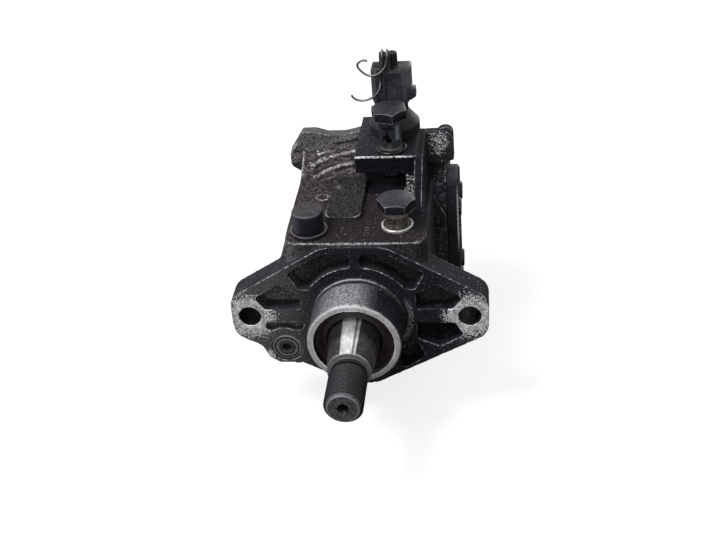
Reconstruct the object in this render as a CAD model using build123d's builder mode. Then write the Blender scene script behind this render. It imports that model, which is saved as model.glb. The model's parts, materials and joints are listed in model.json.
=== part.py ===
from build123d import *
import math
import os

os.makedirs("parts", exist_ok=True)

# High-pressure fuel pump with a tapered shaft, a two-eared flange and a top metering valve.
# The origin is where the shaft line meets the mounting face of the flange.
# X points right, Y points back into the housing and Z points up. All sizes are in millimetres.

# Sizes of the flange and the pilot hub
flange_thick = 13.5
ear_x = 62.5
ear_z = 10.8
top_half = 15.5
top_z = 39.0
foot_half = 6.5
foot_z = 41.0
bolt_x = 53.5
bolt_hole_r = 5.25
hub_r = 22.5
hub_length = 23.0
hub_bore_r = 19.0
seal_seat = 12.0
groove_depth = 1.9
pilot_ring_r = 0.93
plug_x = -37.2
plug_z = -19.1
plug_r = 7.6
boss_r = 8.5
boss_length = 4.0

# Sizes of the body behind the flange
body_left = -33.5
body_right = 34.3
body_r = 34.5
deck_front = 2.4
deck_z = 40.3
block_z = 59.0
block_front = 52.0
block_left = -3.0
block_right = 27.0
rib_front = 29.0
rib_top = 58.2
block_back = 97.0
rear_flange_front = 80.0
upper_flange_back = 86.3
rear_face = 92.0
ear_right = 44.6
box_front = 60.5
box_side = 41.0
head_side = 47.0
box_low = 34.0
cavity_r = 31.0
cavity_front = 60.0
plunger_y = 76.0

# Sizes of the shaft and what runs on it
shaft_r = 12.5
shaft_end = -69.0
thread_r = 9.0
taper_end = -43.0
taper_r = 10.2
cam_throw = 3.0
cam_r = 16.0
cam_length = 20.0
cam_flat = 22.0
cam_corner_r = 26.0
bearing_front = 16.0
bearing_width = 15.0
bearing_r = 26.0
ball_r = 3.97
ball_circle_r = 19.25
ball_count = 9
circlip_front = 31.3
circlip_thick = 1.5

# Screws of the rear cover and of the two heads
bolt_r = 3.0
bolt_head_r = 4.8
bolt_head = 5.0
cover_bolts = [(-27.5, 30), (34, 30), (34, -28), (-27.5, -28)]
bolt_front = 67.5
bolt_back = 84.5
side_bolts = [(bolt_front, 21), (bolt_back, 21), (bolt_front, -21), (bolt_back, -21)]
bottom_bolts = [(20, bolt_front), (20, bolt_back), (-20, bolt_front), (-20, bolt_back)]
side_seat = 3.8

# Sizes of the feed pump
lobe_count = 5
lobe_r = 6.0
lobe_circle_r = 17.0
rotor_throw = 2.4
rotor_r = 20.5
rotor_gap = 0.06
rotor_front = 99.3
rotor_width = 8.0

# Sizes of the plungers and their heads
plunger_r = 3.5
plunger_tip = 38.4
foot_r = 9.5
foot_thick = 2.6
foot_gap = 0.3
spigot_r = 11.0
spring_seat = 38.0
barrel_r = 6.3
barrel_start = 28.7
bore_end = 38.7
seat_end = 39.4
seat_r = 1.3
chamber_r = 3.4
delivery_ball_r = 1.9
closer_thick = 2.2
return_spring_r = 8.4
return_wire_r = 0.9
bottom_head_side = 57.0
outlet_z = -49.0
outlet_r = 6.9

# Sizes of the fittings on top
lower_banjo_x = 19.75
lower_banjo_y = 17.5
upper_banjo_x = 14.7
upper_banjo_y = 60.0
banjo_shank_r = 5.45
banjo_thread_r = 5.95
banjo_hole_r = 2.7
banjo_flats = 16.0
banjo_head = 5.2
washer_r = 7.6
washer_thick = 1.5
cap_x = -22.1
cap_y = 13.2

# Sizes of the metering valve and its plug
valve_x = 15.0
valve_y = 81.5
valve_bore_r = 7.0
valve_low = 34.0
can_r = 13.0
shell_front = 75.0
shell_back = 88.0
shell_low = 75.4
shell_top = 94.0
shell_left = 4.9
shell_right = 24.6
wire_r = 0.55
lug_middle = 76.7
lug_axis_z = 101.85
lug_r = 1.6


def facing(y):
    """A sketch plane seen from the front, standing at depth y."""
    return Plane.XZ.offset(-y)


def sideways(x):
    """A sketch plane seen from the right, standing at distance x."""
    return Plane.YZ.offset(x)


# The housing: one casting with flange, hub, deck, block and rear flange
with BuildPart() as pump_housing:
    # The deck is a box with rounded front corners
    with BuildSketch(Plane.XY) as deck_plan:
        with Locations(((body_left + body_right) / 2, (deck_front + rear_face) / 2)):
            Rectangle(body_right - body_left, rear_face - deck_front)
        fillet(deck_plan.vertices().group_by(Axis.Y)[0], 6.5)
    extrude(amount=deck_z)
    fillet(pump_housing.faces().sort_by(Axis.Z)[-1].edges().group_by(Axis.Y)[0], 0.6)
    # The round lower body
    with BuildSketch(facing(rear_face)):
        Circle(body_r)
    extrude(amount=rear_face - deck_front)
    # A gusset ties the left wall to the back of the flange
    with BuildSketch(facing(21)):
        with BuildLine():
            Polyline((-33, 37.5), (-34.6, 34.5), (-37.8, 25), (-38.5, 18), (-33, 8), close=True)
        make_face()
    extrude(amount=21 - flange_thick + 1)
    # The flange follows its two ears, with a bulge round the gallery plug
    with BuildSketch(facing(flange_thick)) as flange_outline:
        with BuildLine():
            Polyline(
                (-top_half, top_z),
                (top_half, top_z),
                (ear_x, ear_z),
                (ear_x, -ear_z),
                (foot_half, -foot_z),
                (-foot_half, -foot_z),
                (-ear_x, -ear_z),
                (-ear_x, ear_z),
                close=True,
            )
        make_face()
        fillet(flange_outline.vertices(), 9.0)
        with BuildLine():
            Polyline(
                (-51, -14),
                (-49, -19.3),
                (-46.6, -24.8),
                (-41.5, -28.2),
                (-31, -28.6),
                (-28, -14),
                close=True,
            )
        make_face()
        fillet(flange_outline.vertices().sort_by(Axis.X)[4:6], 2.0)
    extrude(amount=flange_thick)
    # Round bosses carry on behind the two bolt holes
    with BuildSketch(facing(flange_thick + boss_length)):
        with Locations((-bolt_x, 0), (bolt_x, 0)):
            Circle(boss_r)
    extrude(amount=boss_length)
    # The pilot hub
    with BuildSketch(facing(0)):
        Circle(hub_r)
    extrude(amount=hub_length)
    chamfer(pump_housing.faces().sort_by(Axis.Y)[0].edges(), 1.0)
    # The groove for the pilot seal ring
    with BuildSketch(facing(-1.4)):
        Circle(hub_r + 1)
        Circle(hub_r - groove_depth, mode=Mode.SUBTRACT)
    extrude(amount=2.8, mode=Mode.SUBTRACT)
    # The raised pad on the deck
    with BuildSketch(Plane.XY.offset(deck_z - 1)) as pad_plan:
        with Locations((-7.0, 45)):
            Rectangle(17.4, 46)
        fillet(pad_plan.vertices(), 4.0)
    extrude(amount=3.4)
    # A small round cast mark left of the pad
    with BuildSketch(Plane.XY.offset(deck_z - 1)):
        with Locations((-19.5, 44)):
            Circle(2.6)
    extrude(amount=1.6)
    # The ramp between the deck and the rear flange
    with BuildSketch(sideways(body_left)):
        with BuildLine():
            Polyline((63, deck_z - 1), (63, deck_z), (80, 49.6), (84, 49.6), (84, deck_z - 1), close=True)
        make_face()
    extrude(amount=block_left + 2 - body_left)
    # The rear flange with its two upper ears
    with BuildSketch(facing(rear_face)) as rear_outline:
        with BuildLine():
            Polyline(
                (-34.8, -36),
                (-34.8, 36),
                (-40.6, 39.5),
                (-40.6, 47.5),
                (-33.2, block_z + 0.2),
                (-26, block_z + 0.2),
                (-20, 57.2),
                (-11, 57.2),
                (-4, block_z),
                (block_right, block_z - 2),
                (ear_right - 3, block_z - 1.5),
                (ear_right, 54.5),
                (ear_right, deck_z + 1.2),
                (box_side, deck_z),
                (box_side, -36),
                close=True,
            )
        make_face()
        fillet(rear_outline.vertices().group_by(Axis.Y)[0], 9.0)
        fillet(rear_outline.vertices().sort_by(Axis.X)[0:2], 3.6)
    extrude(amount=rear_face - rear_flange_front)
    # A round lug stands behind the right ear
    with BuildSketch(facing(upper_flange_back)):
        with Locations((ear_right - 4.2, 55.2)):
            Circle(4.2)
    extrude(amount=upper_flange_back - 82)
    # Above the cover the flange is thinner on both sides of the block
    with BuildSketch(Plane.XY.offset(deck_z + 0.5)):
        with Locations(((-45 + block_left) / 2, (upper_flange_back + rear_face + 1) / 2)):
            Rectangle(45 + block_left, rear_face + 1 - upper_flange_back)
        with Locations(((48 + block_right) / 2, (upper_flange_back + rear_face + 1) / 2)):
            Rectangle(48 - block_right, rear_face + 1 - upper_flange_back)
    extrude(amount=25, mode=Mode.SUBTRACT)
    # The box on the right that carries the side head, and its twin underneath
    with BuildSketch(sideways(0)) as box_side_view:
        with Locations(((box_front + rear_face) / 2, (deck_z - box_low) / 2)):
            Rectangle(rear_face - box_front, deck_z + box_low)
        fillet(box_side_view.vertices().group_by(Axis.X)[0], 3.0)
    extrude(amount=box_side)
    with BuildSketch(Plane.XY) as box_below_view:
        with Locations((0, (box_front + rear_face) / 2)):
            Rectangle(56, rear_face - box_front)
        fillet(box_below_view.vertices().group_by(Axis.Y)[0], 4.0)
    extrude(amount=-box_side)
    # The slanted web on the front of the box
    with BuildSketch(facing(box_front + 2)):
        with BuildLine():
            Polyline((33, 35), (35.6, 32.4), (40.8, 22), (40.8, 12), (33, 24), close=True)
        make_face()
    extrude(amount=5.5)
    # The block that carries the upper banjo bolt and the metering valve
    with BuildSketch(Plane.XY.offset(block_z - 9.2)):
        with BuildLine():
            Polyline(
                (block_left, block_front),
                (block_right, block_front),
                (block_right, 88.5),
                (block_right - 7, block_back),
                (block_left, block_back),
                close=True,
            )
        make_face()
    extrude(amount=9.2)
    # The round foot and the rib that hold the block up
    with BuildSketch(Plane.XY.offset(deck_z - 1)):
        with Locations((upper_banjo_x - 2.5, 67.5)):
            Circle(12.6)
        with Locations((24.4, 67.5)):
            Rectangle(5.2, 30)
        with Locations((12, 76)):
            Rectangle(30, 12)
    extrude(amount=block_z - 7.5 - deck_z)
    # The slanted rib from the block down to the front right of the deck
    with BuildSketch(sideways(block_right - 0.5)):
        with BuildLine():
            Polyline(
                (rib_front, deck_z - 1),
                (rib_front, deck_z),
                (block_front, rib_top),
                (84, rib_top),
                (84, deck_z - 1),
                close=True,
            )
        make_face()
    extrude(amount=4.2)
    # Bolt holes in the ears
    with BuildSketch(facing(flange_thick + boss_length)):
        with Locations((-bolt_x, 0), (bolt_x, 0)):
            Circle(bolt_hole_r)
    extrude(amount=flange_thick + boss_length, mode=Mode.SUBTRACT)
    # Pockets cast into the flange face beside the ears
    with BuildSketch(facing(8.5)) as ear_pockets:
        with BuildLine():
            Polyline((28, 4), (28, 12.5), (38, 18.2), (50, 10.4), (45.2, 4), close=True)
        make_face()
        with BuildLine():
            Polyline((-28, 4), (-28, 12.5), (-38, 18.2), (-50, 10.4), (-45.2, 4), close=True)
        make_face()
        with BuildLine():
            Polyline((28, -4), (28, -13), (39, -18), (50.2, -11.2), (46.2, -4), close=True)
        make_face()
        fillet(ear_pockets.vertices(), 1.4)
    extrude(amount=8.5, mode=Mode.SUBTRACT)
    # The lower left pocket is shallow, with a wavy lower edge
    with BuildSketch(facing(3.2)) as wavy_pocket:
        with BuildLine():
            Polyline(
                (-27, -3.8),
                (-28.4, -8.0),
                (-32, -8.4),
                (-35.5, -6.8),
                (-39.6, -6.8),
                (-43.2, -8.6),
                (-46.4, -7.4),
                (-45.6, -3.6),
                close=True,
            )
        make_face()
        fillet(wavy_pocket.vertices(), 1.0)
    extrude(amount=3.2, mode=Mode.SUBTRACT)
    # Curved pockets above and below the hub, split by a web in the middle
    with BuildSketch(facing(9.0)) as long_pockets:
        with BuildLine():
            Polyline((2.4, 34.6), (16.5, 34.6), (32.5, 24.6), (27.6, 15.5), (2.4, 15.5), close=True)
        make_face()
        mirror(about=Plane.YZ)
        with BuildLine():
            Polyline((18.6, -19), (18.6, -31), (22.4, -30.4), (31.6, -24), (27.8, -15.8), close=True)
        make_face()
        Circle(28.2, mode=Mode.SUBTRACT)
        fillet(long_pockets.vertices(), 1.2)
    extrude(amount=9.0, mode=Mode.SUBTRACT)
    # The seat of the gallery plug
    with BuildSketch(facing(9.0)):
        with Locations((plug_x, plug_z)):
            Circle(plug_r)
    extrude(amount=9.0, mode=Mode.SUBTRACT)
    # Bores along the shaft line
    with BuildSketch(facing(-seal_seat)):
        Circle(hub_bore_r)
    extrude(amount=hub_length - seal_seat, mode=Mode.SUBTRACT)
    with BuildSketch(facing(bearing_front)):
        Circle(14.5)
    extrude(amount=bearing_front + seal_seat, mode=Mode.SUBTRACT)
    with BuildSketch(facing(cavity_front)):
        Circle(bearing_r)
    extrude(amount=cavity_front - bearing_front, mode=Mode.SUBTRACT)
    with BuildSketch(facing(circlip_front + circlip_thick + 0.1)):
        Circle(bearing_r + 1)
    extrude(amount=circlip_thick + 0.2, mode=Mode.SUBTRACT)
    with BuildSketch(facing(rear_face)):
        Circle(cavity_r)
    extrude(amount=rear_face - cavity_front, mode=Mode.SUBTRACT)
    # Tapped holes for the cover bolts and the head bolts
    with BuildSketch(facing(rear_face)):
        with Locations(*cover_bolts):
            Circle(bolt_r)
    extrude(amount=14, mode=Mode.SUBTRACT)
    with BuildSketch(sideways(box_side)):
        with Locations(*side_bolts):
            Circle(bolt_r)
    extrude(amount=-9, mode=Mode.SUBTRACT)
    with BuildSketch(Plane.XY.offset(-box_side)):
        with Locations(*bottom_bolts):
            Circle(bolt_r)
    extrude(amount=9, mode=Mode.SUBTRACT)
    # Bores for the two plunger heads
    with BuildSketch(sideways(0)):
        with Locations((plunger_y, 0)):
            Circle(spigot_r)
    extrude(amount=box_side, mode=Mode.SUBTRACT)
    with BuildSketch(Plane.XY):
        with Locations((0, plunger_y)):
            Circle(spigot_r)
    extrude(amount=-box_side, mode=Mode.SUBTRACT)
    # Tapped holes for the banjo bolts and the inlet, and the valve bore
    with BuildSketch(Plane.XY.offset(block_z)):
        with Locations((upper_banjo_x, upper_banjo_y)):
            Circle(banjo_thread_r)
    extrude(amount=-14, mode=Mode.SUBTRACT)
    with BuildSketch(Plane.XY.offset(deck_z)):
        with Locations((lower_banjo_x, lower_banjo_y)):
            Circle(banjo_thread_r)
    extrude(amount=-13, mode=Mode.SUBTRACT)
    with BuildSketch(Plane.XY.offset(deck_z)):
        with Locations((cap_x, cap_y)):
            Circle(5.0)
    extrude(amount=-12, mode=Mode.SUBTRACT)
    with BuildSketch(Plane.XY.offset(block_z)):
        with Locations((valve_x, valve_y)):
            Circle(valve_bore_r)
    extrude(amount=valve_low - block_z, mode=Mode.SUBTRACT)
pump_housing.part.label = "pump_housing"
export_step(pump_housing.part, "parts/pump_housing.step")


def hex_head(width, height, turn):
    """A hexagon head that stands on the ground plane, with its corners turned off."""
    with BuildPart() as head:
        with BuildSketch(Plane.XY):
            RegularPolygon(width / math.sqrt(3), 6, rotation=turn)
        extrude(amount=height)
        with BuildSketch(Plane.XY.offset(height)):
            Circle(width * 0.475)
        extrude(amount=-height, taper=-62, mode=Mode.INTERSECT)
    return head.part


def coil(radius, wire, length, turns):
    """A round-wire compression spring that stands on the ground plane."""
    path = Helix(pitch=(length - 2 * wire) / turns, height=length - 2 * wire, radius=radius)
    path = path.translate((0, 0, wire))
    section = Plane(origin=path @ 0, z_dir=path % 0) * Circle(wire)
    return sweep(section, path=path, is_frenet=True)


# The drive shaft: threaded nose, undercut, taper, journals, eccentric and pump drive
with BuildPart() as drive_shaft:
    with BuildSketch(Plane.XY):
        with BuildLine():
            Polyline(
                (0, shaft_end),
                (thread_r - 1.15, shaft_end),
                (thread_r, shaft_end + 1.2),
                (thread_r, taper_end - 3.4),
                (thread_r - 0.9, taper_end - 2.8),
                (thread_r - 0.9, taper_end - 0.2),
                (taper_r, taper_end),
                (shaft_r - 0.1, taper_end + 22),
                (shaft_r, taper_end + 22.6),
                (shaft_r, bearing_front + bearing_width),
                (15, bearing_front + bearing_width),
                (15, 37),
                (shaft_r, 38),
                (shaft_r, plunger_y),
                (0, plunger_y),
                close=True,
            )
        make_face()
    revolve(axis=Axis.Y)
    with BuildSketch(facing(plunger_y + cam_length / 2)):
        with Locations((cam_throw, 0)):
            Circle(cam_r)
    extrude(amount=cam_length)
    with BuildSketch(facing(98.8)):
        Circle(11)
    extrude(amount=14)
    with BuildSketch(facing(rotor_front + rotor_width)):
        Circle(6.97)
        with Locations((-7.2, 0)):
            Rectangle(3, 14, mode=Mode.SUBTRACT)
    extrude(amount=10)
    # The centre hole in the nose
    with BuildSketch(facing(shaft_end)):
        Circle(2.6)
    extrude(amount=-2, taper=24, mode=Mode.SUBTRACT)
    with BuildSketch(facing(shaft_end)):
        Circle(1.5)
    extrude(amount=-6, mode=Mode.SUBTRACT)
drive_shaft.part.label = "drive_shaft"
export_step(drive_shaft.part, "parts/drive_shaft.step")

# The lip seal: a case with a thick wall and a lip that turns inwards
with BuildPart() as shaft_seal:
    with BuildSketch(Plane.XY):
        with BuildLine():
            Polyline(
                (hub_bore_r, -19.6),
                (16.8, -19.6),
                (16.2, -19.0),
                (15.6, -18.4),
                (13.4, -19.4),
                (12.6, -17.8),
                (13.2, -15.0),
                (15.0, -14.2),
                (16.8, -seal_seat),
                (hub_bore_r, -seal_seat),
                close=True,
            )
        make_face()
    revolve(axis=Axis.Y)
shaft_seal.part.label = "shaft_seal"
export_step(shaft_seal.part, "parts/shaft_seal.step")

# The seal ring in the groove at the root of the hub, as flat as the engine's bore squeezes it
with BuildPart() as pilot_ring:
    with BuildSketch(Plane.XY):
        with Locations((hub_r - pilot_ring_r - 0.02, -2.8)):
            Circle(pilot_ring_r)
    revolve(axis=Axis.Y)
pilot_ring.part.label = "pilot_ring"
export_step(pilot_ring.part, "parts/pilot_ring.step")

# The front ball bearing: both races carry a groove for the balls
race_middle = bearing_front + bearing_width / 2


def put(part, place, name):
    """Moves a drawn piece to its place in the pump, labels it and writes it."""
    moved = place * part
    moved.label = name
    export_step(moved, "parts/" + name + ".step")


def race(inner, outer):
    """One race of the ball bearing."""
    with BuildPart() as ring:
        with BuildSketch(facing(bearing_front + bearing_width)):
            Circle(outer)
            Circle(inner, mode=Mode.SUBTRACT)
        extrude(amount=bearing_width)
        with BuildSketch(Plane.XY):
            with Locations((ball_circle_r, race_middle)):
                Circle(ball_r + 0.06)
        revolve(axis=Axis.Y, mode=Mode.SUBTRACT)
    return ring.part


put(race(22.2, bearing_r), Pos(0, 0, 0), "outer_race")
put(race(shaft_r, 16.3), Pos(0, 0, 0), "inner_race")

with BuildPart() as bearing_balls:
    with Locations(facing(race_middle)):
        with PolarLocations(ball_circle_r, ball_count):
            Sphere(ball_r)
bearing_balls.part.label = "bearing_balls"
export_step(bearing_balls.part, "parts/bearing_balls.step")

with BuildPart() as bearing_cage:
    with BuildSketch(facing(race_middle + 5.4)):
        Circle(20.3)
        Circle(18.2, mode=Mode.SUBTRACT)
    extrude(amount=10.8)
    for pocket in range(ball_count):
        turn = 2 * math.pi * pocket / ball_count
        outwards = (math.cos(turn), 0, math.sin(turn))
        with BuildSketch(Plane(origin=(0, race_middle, 0), x_dir=(0, 1, 0), z_dir=outwards)):
            Circle(ball_r + 0.15)
        extrude(amount=25, mode=Mode.SUBTRACT)
bearing_cage.part.label = "bearing_cage"
export_step(bearing_cage.part, "parts/bearing_cage.step")

# The circlip that holds the bearing in its bore
with BuildPart() as bearing_circlip:
    with BuildSketch(facing(circlip_front + circlip_thick)):
        Circle(bearing_r + 0.9)
        Circle(bearing_r - 2.6, mode=Mode.SUBTRACT)
        with Locations((0, -bearing_r)):
            Rectangle(13, 14, mode=Mode.SUBTRACT)
    extrude(amount=circlip_thick)
bearing_circlip.part.label = "bearing_circlip"
export_step(bearing_circlip.part, "parts/bearing_circlip.step")

# The ring on the eccentric: a round ring with four flats for the plunger feet
with BuildPart() as ring_cam:
    with BuildSketch(facing(plunger_y + 9)):
        with Locations((cam_throw, 0)):
            Circle(cam_corner_r)
            Rectangle(2 * cam_flat, 2 * cam_flat, mode=Mode.INTERSECT)
            Circle(cam_r + 0.06, mode=Mode.SUBTRACT)
    extrude(amount=18)
ring_cam.part.label = "ring_cam"
export_step(ring_cam.part, "parts/ring_cam.step")

# The side head: cover plate, locating ring and plunger barrel
foot_start = cam_flat + cam_throw + foot_gap
ball_middle = seat_end + math.sqrt(delivery_ball_r**2 - seat_r**2)
closer_start = head_side - closer_thick


def head_bores(face):
    """The plunger bore, the valve seat and the ball chamber, as one piece to cut away."""
    with BuildPart() as bores:
        with BuildSketch(Plane.XY.offset(barrel_start)):
            Circle(plunger_r + 0.04)
        extrude(amount=bore_end - barrel_start)
        with BuildSketch(Plane.XY.offset(bore_end - 1)):
            Circle(seat_r)
        extrude(amount=3)
        with BuildSketch(Plane.XY.offset(seat_end)):
            Circle(chamber_r)
        extrude(amount=face - seat_end)
    return bores.part


def barrel():
    """The locating ring and the barrel of a head."""
    with BuildPart() as tube:
        with BuildSketch(Plane.XY.offset(spring_seat)):
            Circle(spigot_r - 0.03)
        extrude(amount=box_side - spring_seat)
        with BuildSketch(Plane.XY.offset(barrel_start)):
            Circle(barrel_r)
        extrude(amount=box_side - barrel_start)
    return tube.part


# A head is drawn standing on the plunger axis and then turned to its side of the pump
to_side = Plane(origin=(0, plunger_y, 0), x_dir=(0, 1, 0), z_dir=(1, 0, 0)).location
to_bottom = Plane(origin=(0, plunger_y, 0), x_dir=(-1, 0, 0), z_dir=(0, 0, -1)).location


with BuildPart() as side_head:
    with BuildSketch(Plane.XY.offset(box_side)) as side_plate:
        with BuildLine():
            Polyline(
                (box_front - plunger_y, -box_low),
                (box_front - plunger_y, deck_z),
                (78.5 - plunger_y, deck_z),
                (rear_face - 0.7 - plunger_y, 32.5),
                (rear_face - 0.7 - plunger_y, -box_low),
                close=True,
            )
        make_face()
        fillet(side_plate.vertices(), 3.0)
    extrude(amount=head_side - box_side)
    chamfer(side_head.faces().sort_by(Axis.Z)[-1].edges(), 0.9)
    add(barrel())
    add(head_bores(head_side), mode=Mode.SUBTRACT)
    with BuildSketch(Plane.XY.offset(box_side)):
        with Locations(*[(y - plunger_y, z) for y, z in side_bolts]):
            Circle(bolt_r)
    extrude(amount=head_side - box_side, mode=Mode.SUBTRACT)
    with BuildSketch(Plane.XY.offset(head_side)):
        with Locations(*[(y - plunger_y, z) for y, z in side_bolts]):
            Circle(bolt_head_r + 0.2)
    extrude(amount=-side_seat, mode=Mode.SUBTRACT)
put(side_head.part, to_side, "side_head")

with BuildPart() as bottom_head:
    with BuildSketch(Plane.XY.offset(box_side)) as bottom_plate:
        with Locations((0, (box_front + rear_face) / 2 - plunger_y)):
            Rectangle(54, rear_face - box_front - 1.4)
        fillet(bottom_plate.vertices(), 4.5)
    extrude(amount=bottom_head_side - box_side)
    chamfer(bottom_head.faces().sort_by(Axis.Z)[-1].edges(), 1.2)
    add(barrel())
    add(head_bores(bottom_head_side), mode=Mode.SUBTRACT)
    with BuildSketch(Plane.XY.offset(box_side)):
        with Locations(*[(-x, y - plunger_y) for x, y in bottom_bolts]):
            Circle(bolt_r)
    extrude(amount=bottom_head_side - box_side, mode=Mode.SUBTRACT)
    with BuildSketch(Plane.XZ.offset(plunger_y - rear_face)):
        with Locations((0, -outlet_z)):
            Circle(outlet_r)
    extrude(amount=8, mode=Mode.SUBTRACT)
put(bottom_head.part, to_bottom, "bottom_head")

with BuildPart() as plunger:
    with BuildSketch(Plane.XY.offset(foot_start + foot_thick)):
        Circle(plunger_r)
    extrude(amount=plunger_tip - foot_start - foot_thick)
    chamfer(plunger.faces().sort_by(Axis.Z)[-1].edges(), 0.4)
put(plunger.part, to_side, "side_plunger")
put(plunger.part, to_bottom, "bottom_plunger")

with BuildPart() as plunger_foot:
    with BuildSketch(Plane.XY.offset(foot_start)):
        Circle(foot_r)
    extrude(amount=foot_thick)
    chamfer(plunger_foot.edges(), 0.5)
put(plunger_foot.part, to_side, "side_foot")
put(plunger_foot.part, to_bottom, "bottom_foot")

return_length = spring_seat - foot_start - foot_thick
return_coil = coil(return_spring_r, return_wire_r, return_length, 3.5)
return_spring = Pos(0, 0, foot_start + foot_thick) * return_coil
put(return_spring, to_side, "side_return_spring")
put(return_spring, to_bottom, "bottom_return_spring")

with BuildPart() as delivery_ball:
    with Locations((0, 0, ball_middle)):
        Sphere(delivery_ball_r)
put(delivery_ball.part, to_side, "side_delivery_ball")
put(delivery_ball.part, to_bottom, "bottom_delivery_ball")

# The spring stops short of the closing plug by the lift of the ball
ball_lift = 0.7
delivery_length = closer_start - ball_middle - 1.2 - ball_lift
delivery_spring = Pos(0, 0, ball_middle + 1.2) * coil(2.0, 0.3, delivery_length, 2)
put(delivery_spring, to_side, "side_delivery_spring")
put(delivery_spring, to_bottom, "bottom_delivery_spring")

with BuildPart() as side_closer:
    with BuildSketch(Plane.XY.offset(closer_start)):
        Circle(chamber_r)
    extrude(amount=closer_thick)
    with BuildSketch(Plane.XY.offset(head_side)):
        RegularPolygon(1.75, 6)
    extrude(amount=-1.4, mode=Mode.SUBTRACT)
put(side_closer.part, to_side, "side_closer")

with BuildPart() as bottom_closer:
    with BuildSketch(Plane.XY.offset(closer_start)):
        Circle(chamber_r)
    extrude(amount=bottom_head_side - closer_start)
    with BuildSketch(Plane.XY.offset(bottom_head_side)):
        Circle(6.5)
    extrude(amount=3.5)
    with BuildSketch(Plane.XY.offset(bottom_head_side + 3.5)):
        RegularPolygon(2.9, 6)
    extrude(amount=-3, mode=Mode.SUBTRACT)
put(bottom_closer.part, to_bottom, "bottom_closer")


def socket_screw(seat, reach):
    """A socket-head screw whose head stands on the seat height and whose shank hangs down."""
    with BuildPart() as screw:
        with BuildSketch(Plane.XY.offset(seat)):
            Circle(bolt_head_r)
        extrude(amount=bolt_head)
        chamfer(screw.faces().sort_by(Axis.Z)[-1].edges(), 0.5)
        with BuildSketch(Plane.XY.offset(seat + bolt_head)):
            RegularPolygon(2.9, 6)
        extrude(amount=-3, mode=Mode.SUBTRACT)
        with BuildSketch(Plane.XY.offset(seat)):
            Circle(bolt_r - 0.02)
        extrude(amount=-reach)
    return screw.part


side_screw = socket_screw(head_side - side_seat, 9.8)
side_screws = Compound([Pos(y - plunger_y, z, 0) * side_screw for y, z in side_bolts])
put(side_screws, to_side, "side_head_screws")

bottom_screw = socket_screw(bottom_head_side, 24)
bottom_screws = Compound([Pos(-x, y - plunger_y, 0) * bottom_screw for x, y in bottom_bolts])
put(bottom_screws, to_bottom, "bottom_head_screws")

# The high-pressure outlet union, screwed into the back of the bottom head
with BuildPart() as outlet_union:
    with BuildSketch(facing(108)):
        with Locations((0, outlet_z)):
            Circle(outlet_r)
    extrude(amount=108 - rear_face + 8)
    with BuildSketch(facing(rear_face + 4.5)):
        with Locations((0, outlet_z)):
            RegularPolygon(9.2, 6, rotation=30)
    extrude(amount=4.5)
    with BuildSketch(facing(108)):
        with Locations((0, outlet_z)):
            Circle(4.6)
    extrude(amount=5.5, taper=30, mode=Mode.SUBTRACT)
    with BuildSketch(facing(108)):
        with Locations((0, outlet_z)):
            Circle(1.5)
    extrude(amount=20, mode=Mode.SUBTRACT)
outlet_union.part.label = "outlet_union"
export_step(outlet_union.part, "parts/outlet_union.step")

# The plate behind the cavity, which carries the rear bush
plate_back = 99.0
cover_back = 114.0


with BuildPart() as rear_plate:
    with BuildSketch(facing(plate_back)):
        with Locations((3.25, 1.5)):
            RectangleRounded(75.5, 74, 8)
        with Locations(*cover_bolts):
            Circle(bolt_r, mode=Mode.SUBTRACT)
    extrude(amount=plate_back - rear_face)
    with BuildSketch(facing(rear_face)):
        Circle(cavity_r - 0.03)
    extrude(amount=4)
    with BuildSketch(facing(plate_back)):
        Circle(13)
    extrude(amount=20, mode=Mode.SUBTRACT)
    with BuildSketch(facing(91)):
        Circle(cavity_r + 1)
        Circle(cavity_r - 1.7, mode=Mode.SUBTRACT)
    extrude(amount=2.2, mode=Mode.SUBTRACT)
rear_plate.part.label = "rear_plate"
export_step(rear_plate.part, "parts/rear_plate.step")

with BuildPart() as cavity_seal:
    with BuildSketch(Plane.XY):
        with Locations((cavity_r - 0.86, 89.9)):
            Circle(0.84)
    revolve(axis=Axis.Y)
cavity_seal.part.label = "cavity_seal"
export_step(cavity_seal.part, "parts/cavity_seal.step")

with BuildPart() as rear_bush:
    with BuildSketch(facing(98.6)):
        Circle(13)
        Circle(11.04, mode=Mode.SUBTRACT)
    extrude(amount=10)
rear_bush.part.label = "rear_bush"
export_step(rear_bush.part, "parts/rear_bush.step")

# The rear cover, with the pocket of the feed pump in its front face
with BuildPart() as rear_cover:
    with BuildSketch(facing(cover_back)):
        with Locations((3.25, 1)):
            RectangleRounded(75.5, 73, 8)
    extrude(amount=cover_back - plate_back)
    chamfer(rear_cover.faces().sort_by(Axis.Y)[-1].edges(), 1.6)
    with BuildSketch(facing(cover_back + 3)):
        Circle(24)
    extrude(amount=5)
    chamfer(rear_cover.faces().sort_by(Axis.Y)[-1].edges(), 1.2)
    with BuildSketch(facing(cover_back)):
        with Locations(*cover_bolts):
            Circle(bolt_r)
    extrude(amount=cover_back - plate_back, mode=Mode.SUBTRACT)
    with BuildSketch(facing(cover_back)):
        with Locations(*cover_bolts):
            Circle(bolt_head_r + 1.2)
    extrude(amount=2, mode=Mode.SUBTRACT)
    with BuildSketch(facing(rotor_front + rotor_width + 0.3)):
        with Locations((rotor_throw, 0)):
            Circle(rotor_r + rotor_gap)
    extrude(amount=rotor_width + 1, mode=Mode.SUBTRACT)
    with BuildSketch(facing(plate_back + 1.7)):
        Circle(28.2)
        Circle(25.8, mode=Mode.SUBTRACT)
    extrude(amount=1.7, mode=Mode.SUBTRACT)
rear_cover.part.label = "rear_cover"
export_step(rear_cover.part, "parts/rear_cover.step")

with BuildPart() as cover_seal:
    with BuildSketch(Plane.XY):
        with Locations((27, plate_back + 0.85)):
            Circle(0.84)
    revolve(axis=Axis.Y)
cover_seal.part.label = "cover_seal"
export_step(cover_seal.part, "parts/cover_seal.step")

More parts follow.
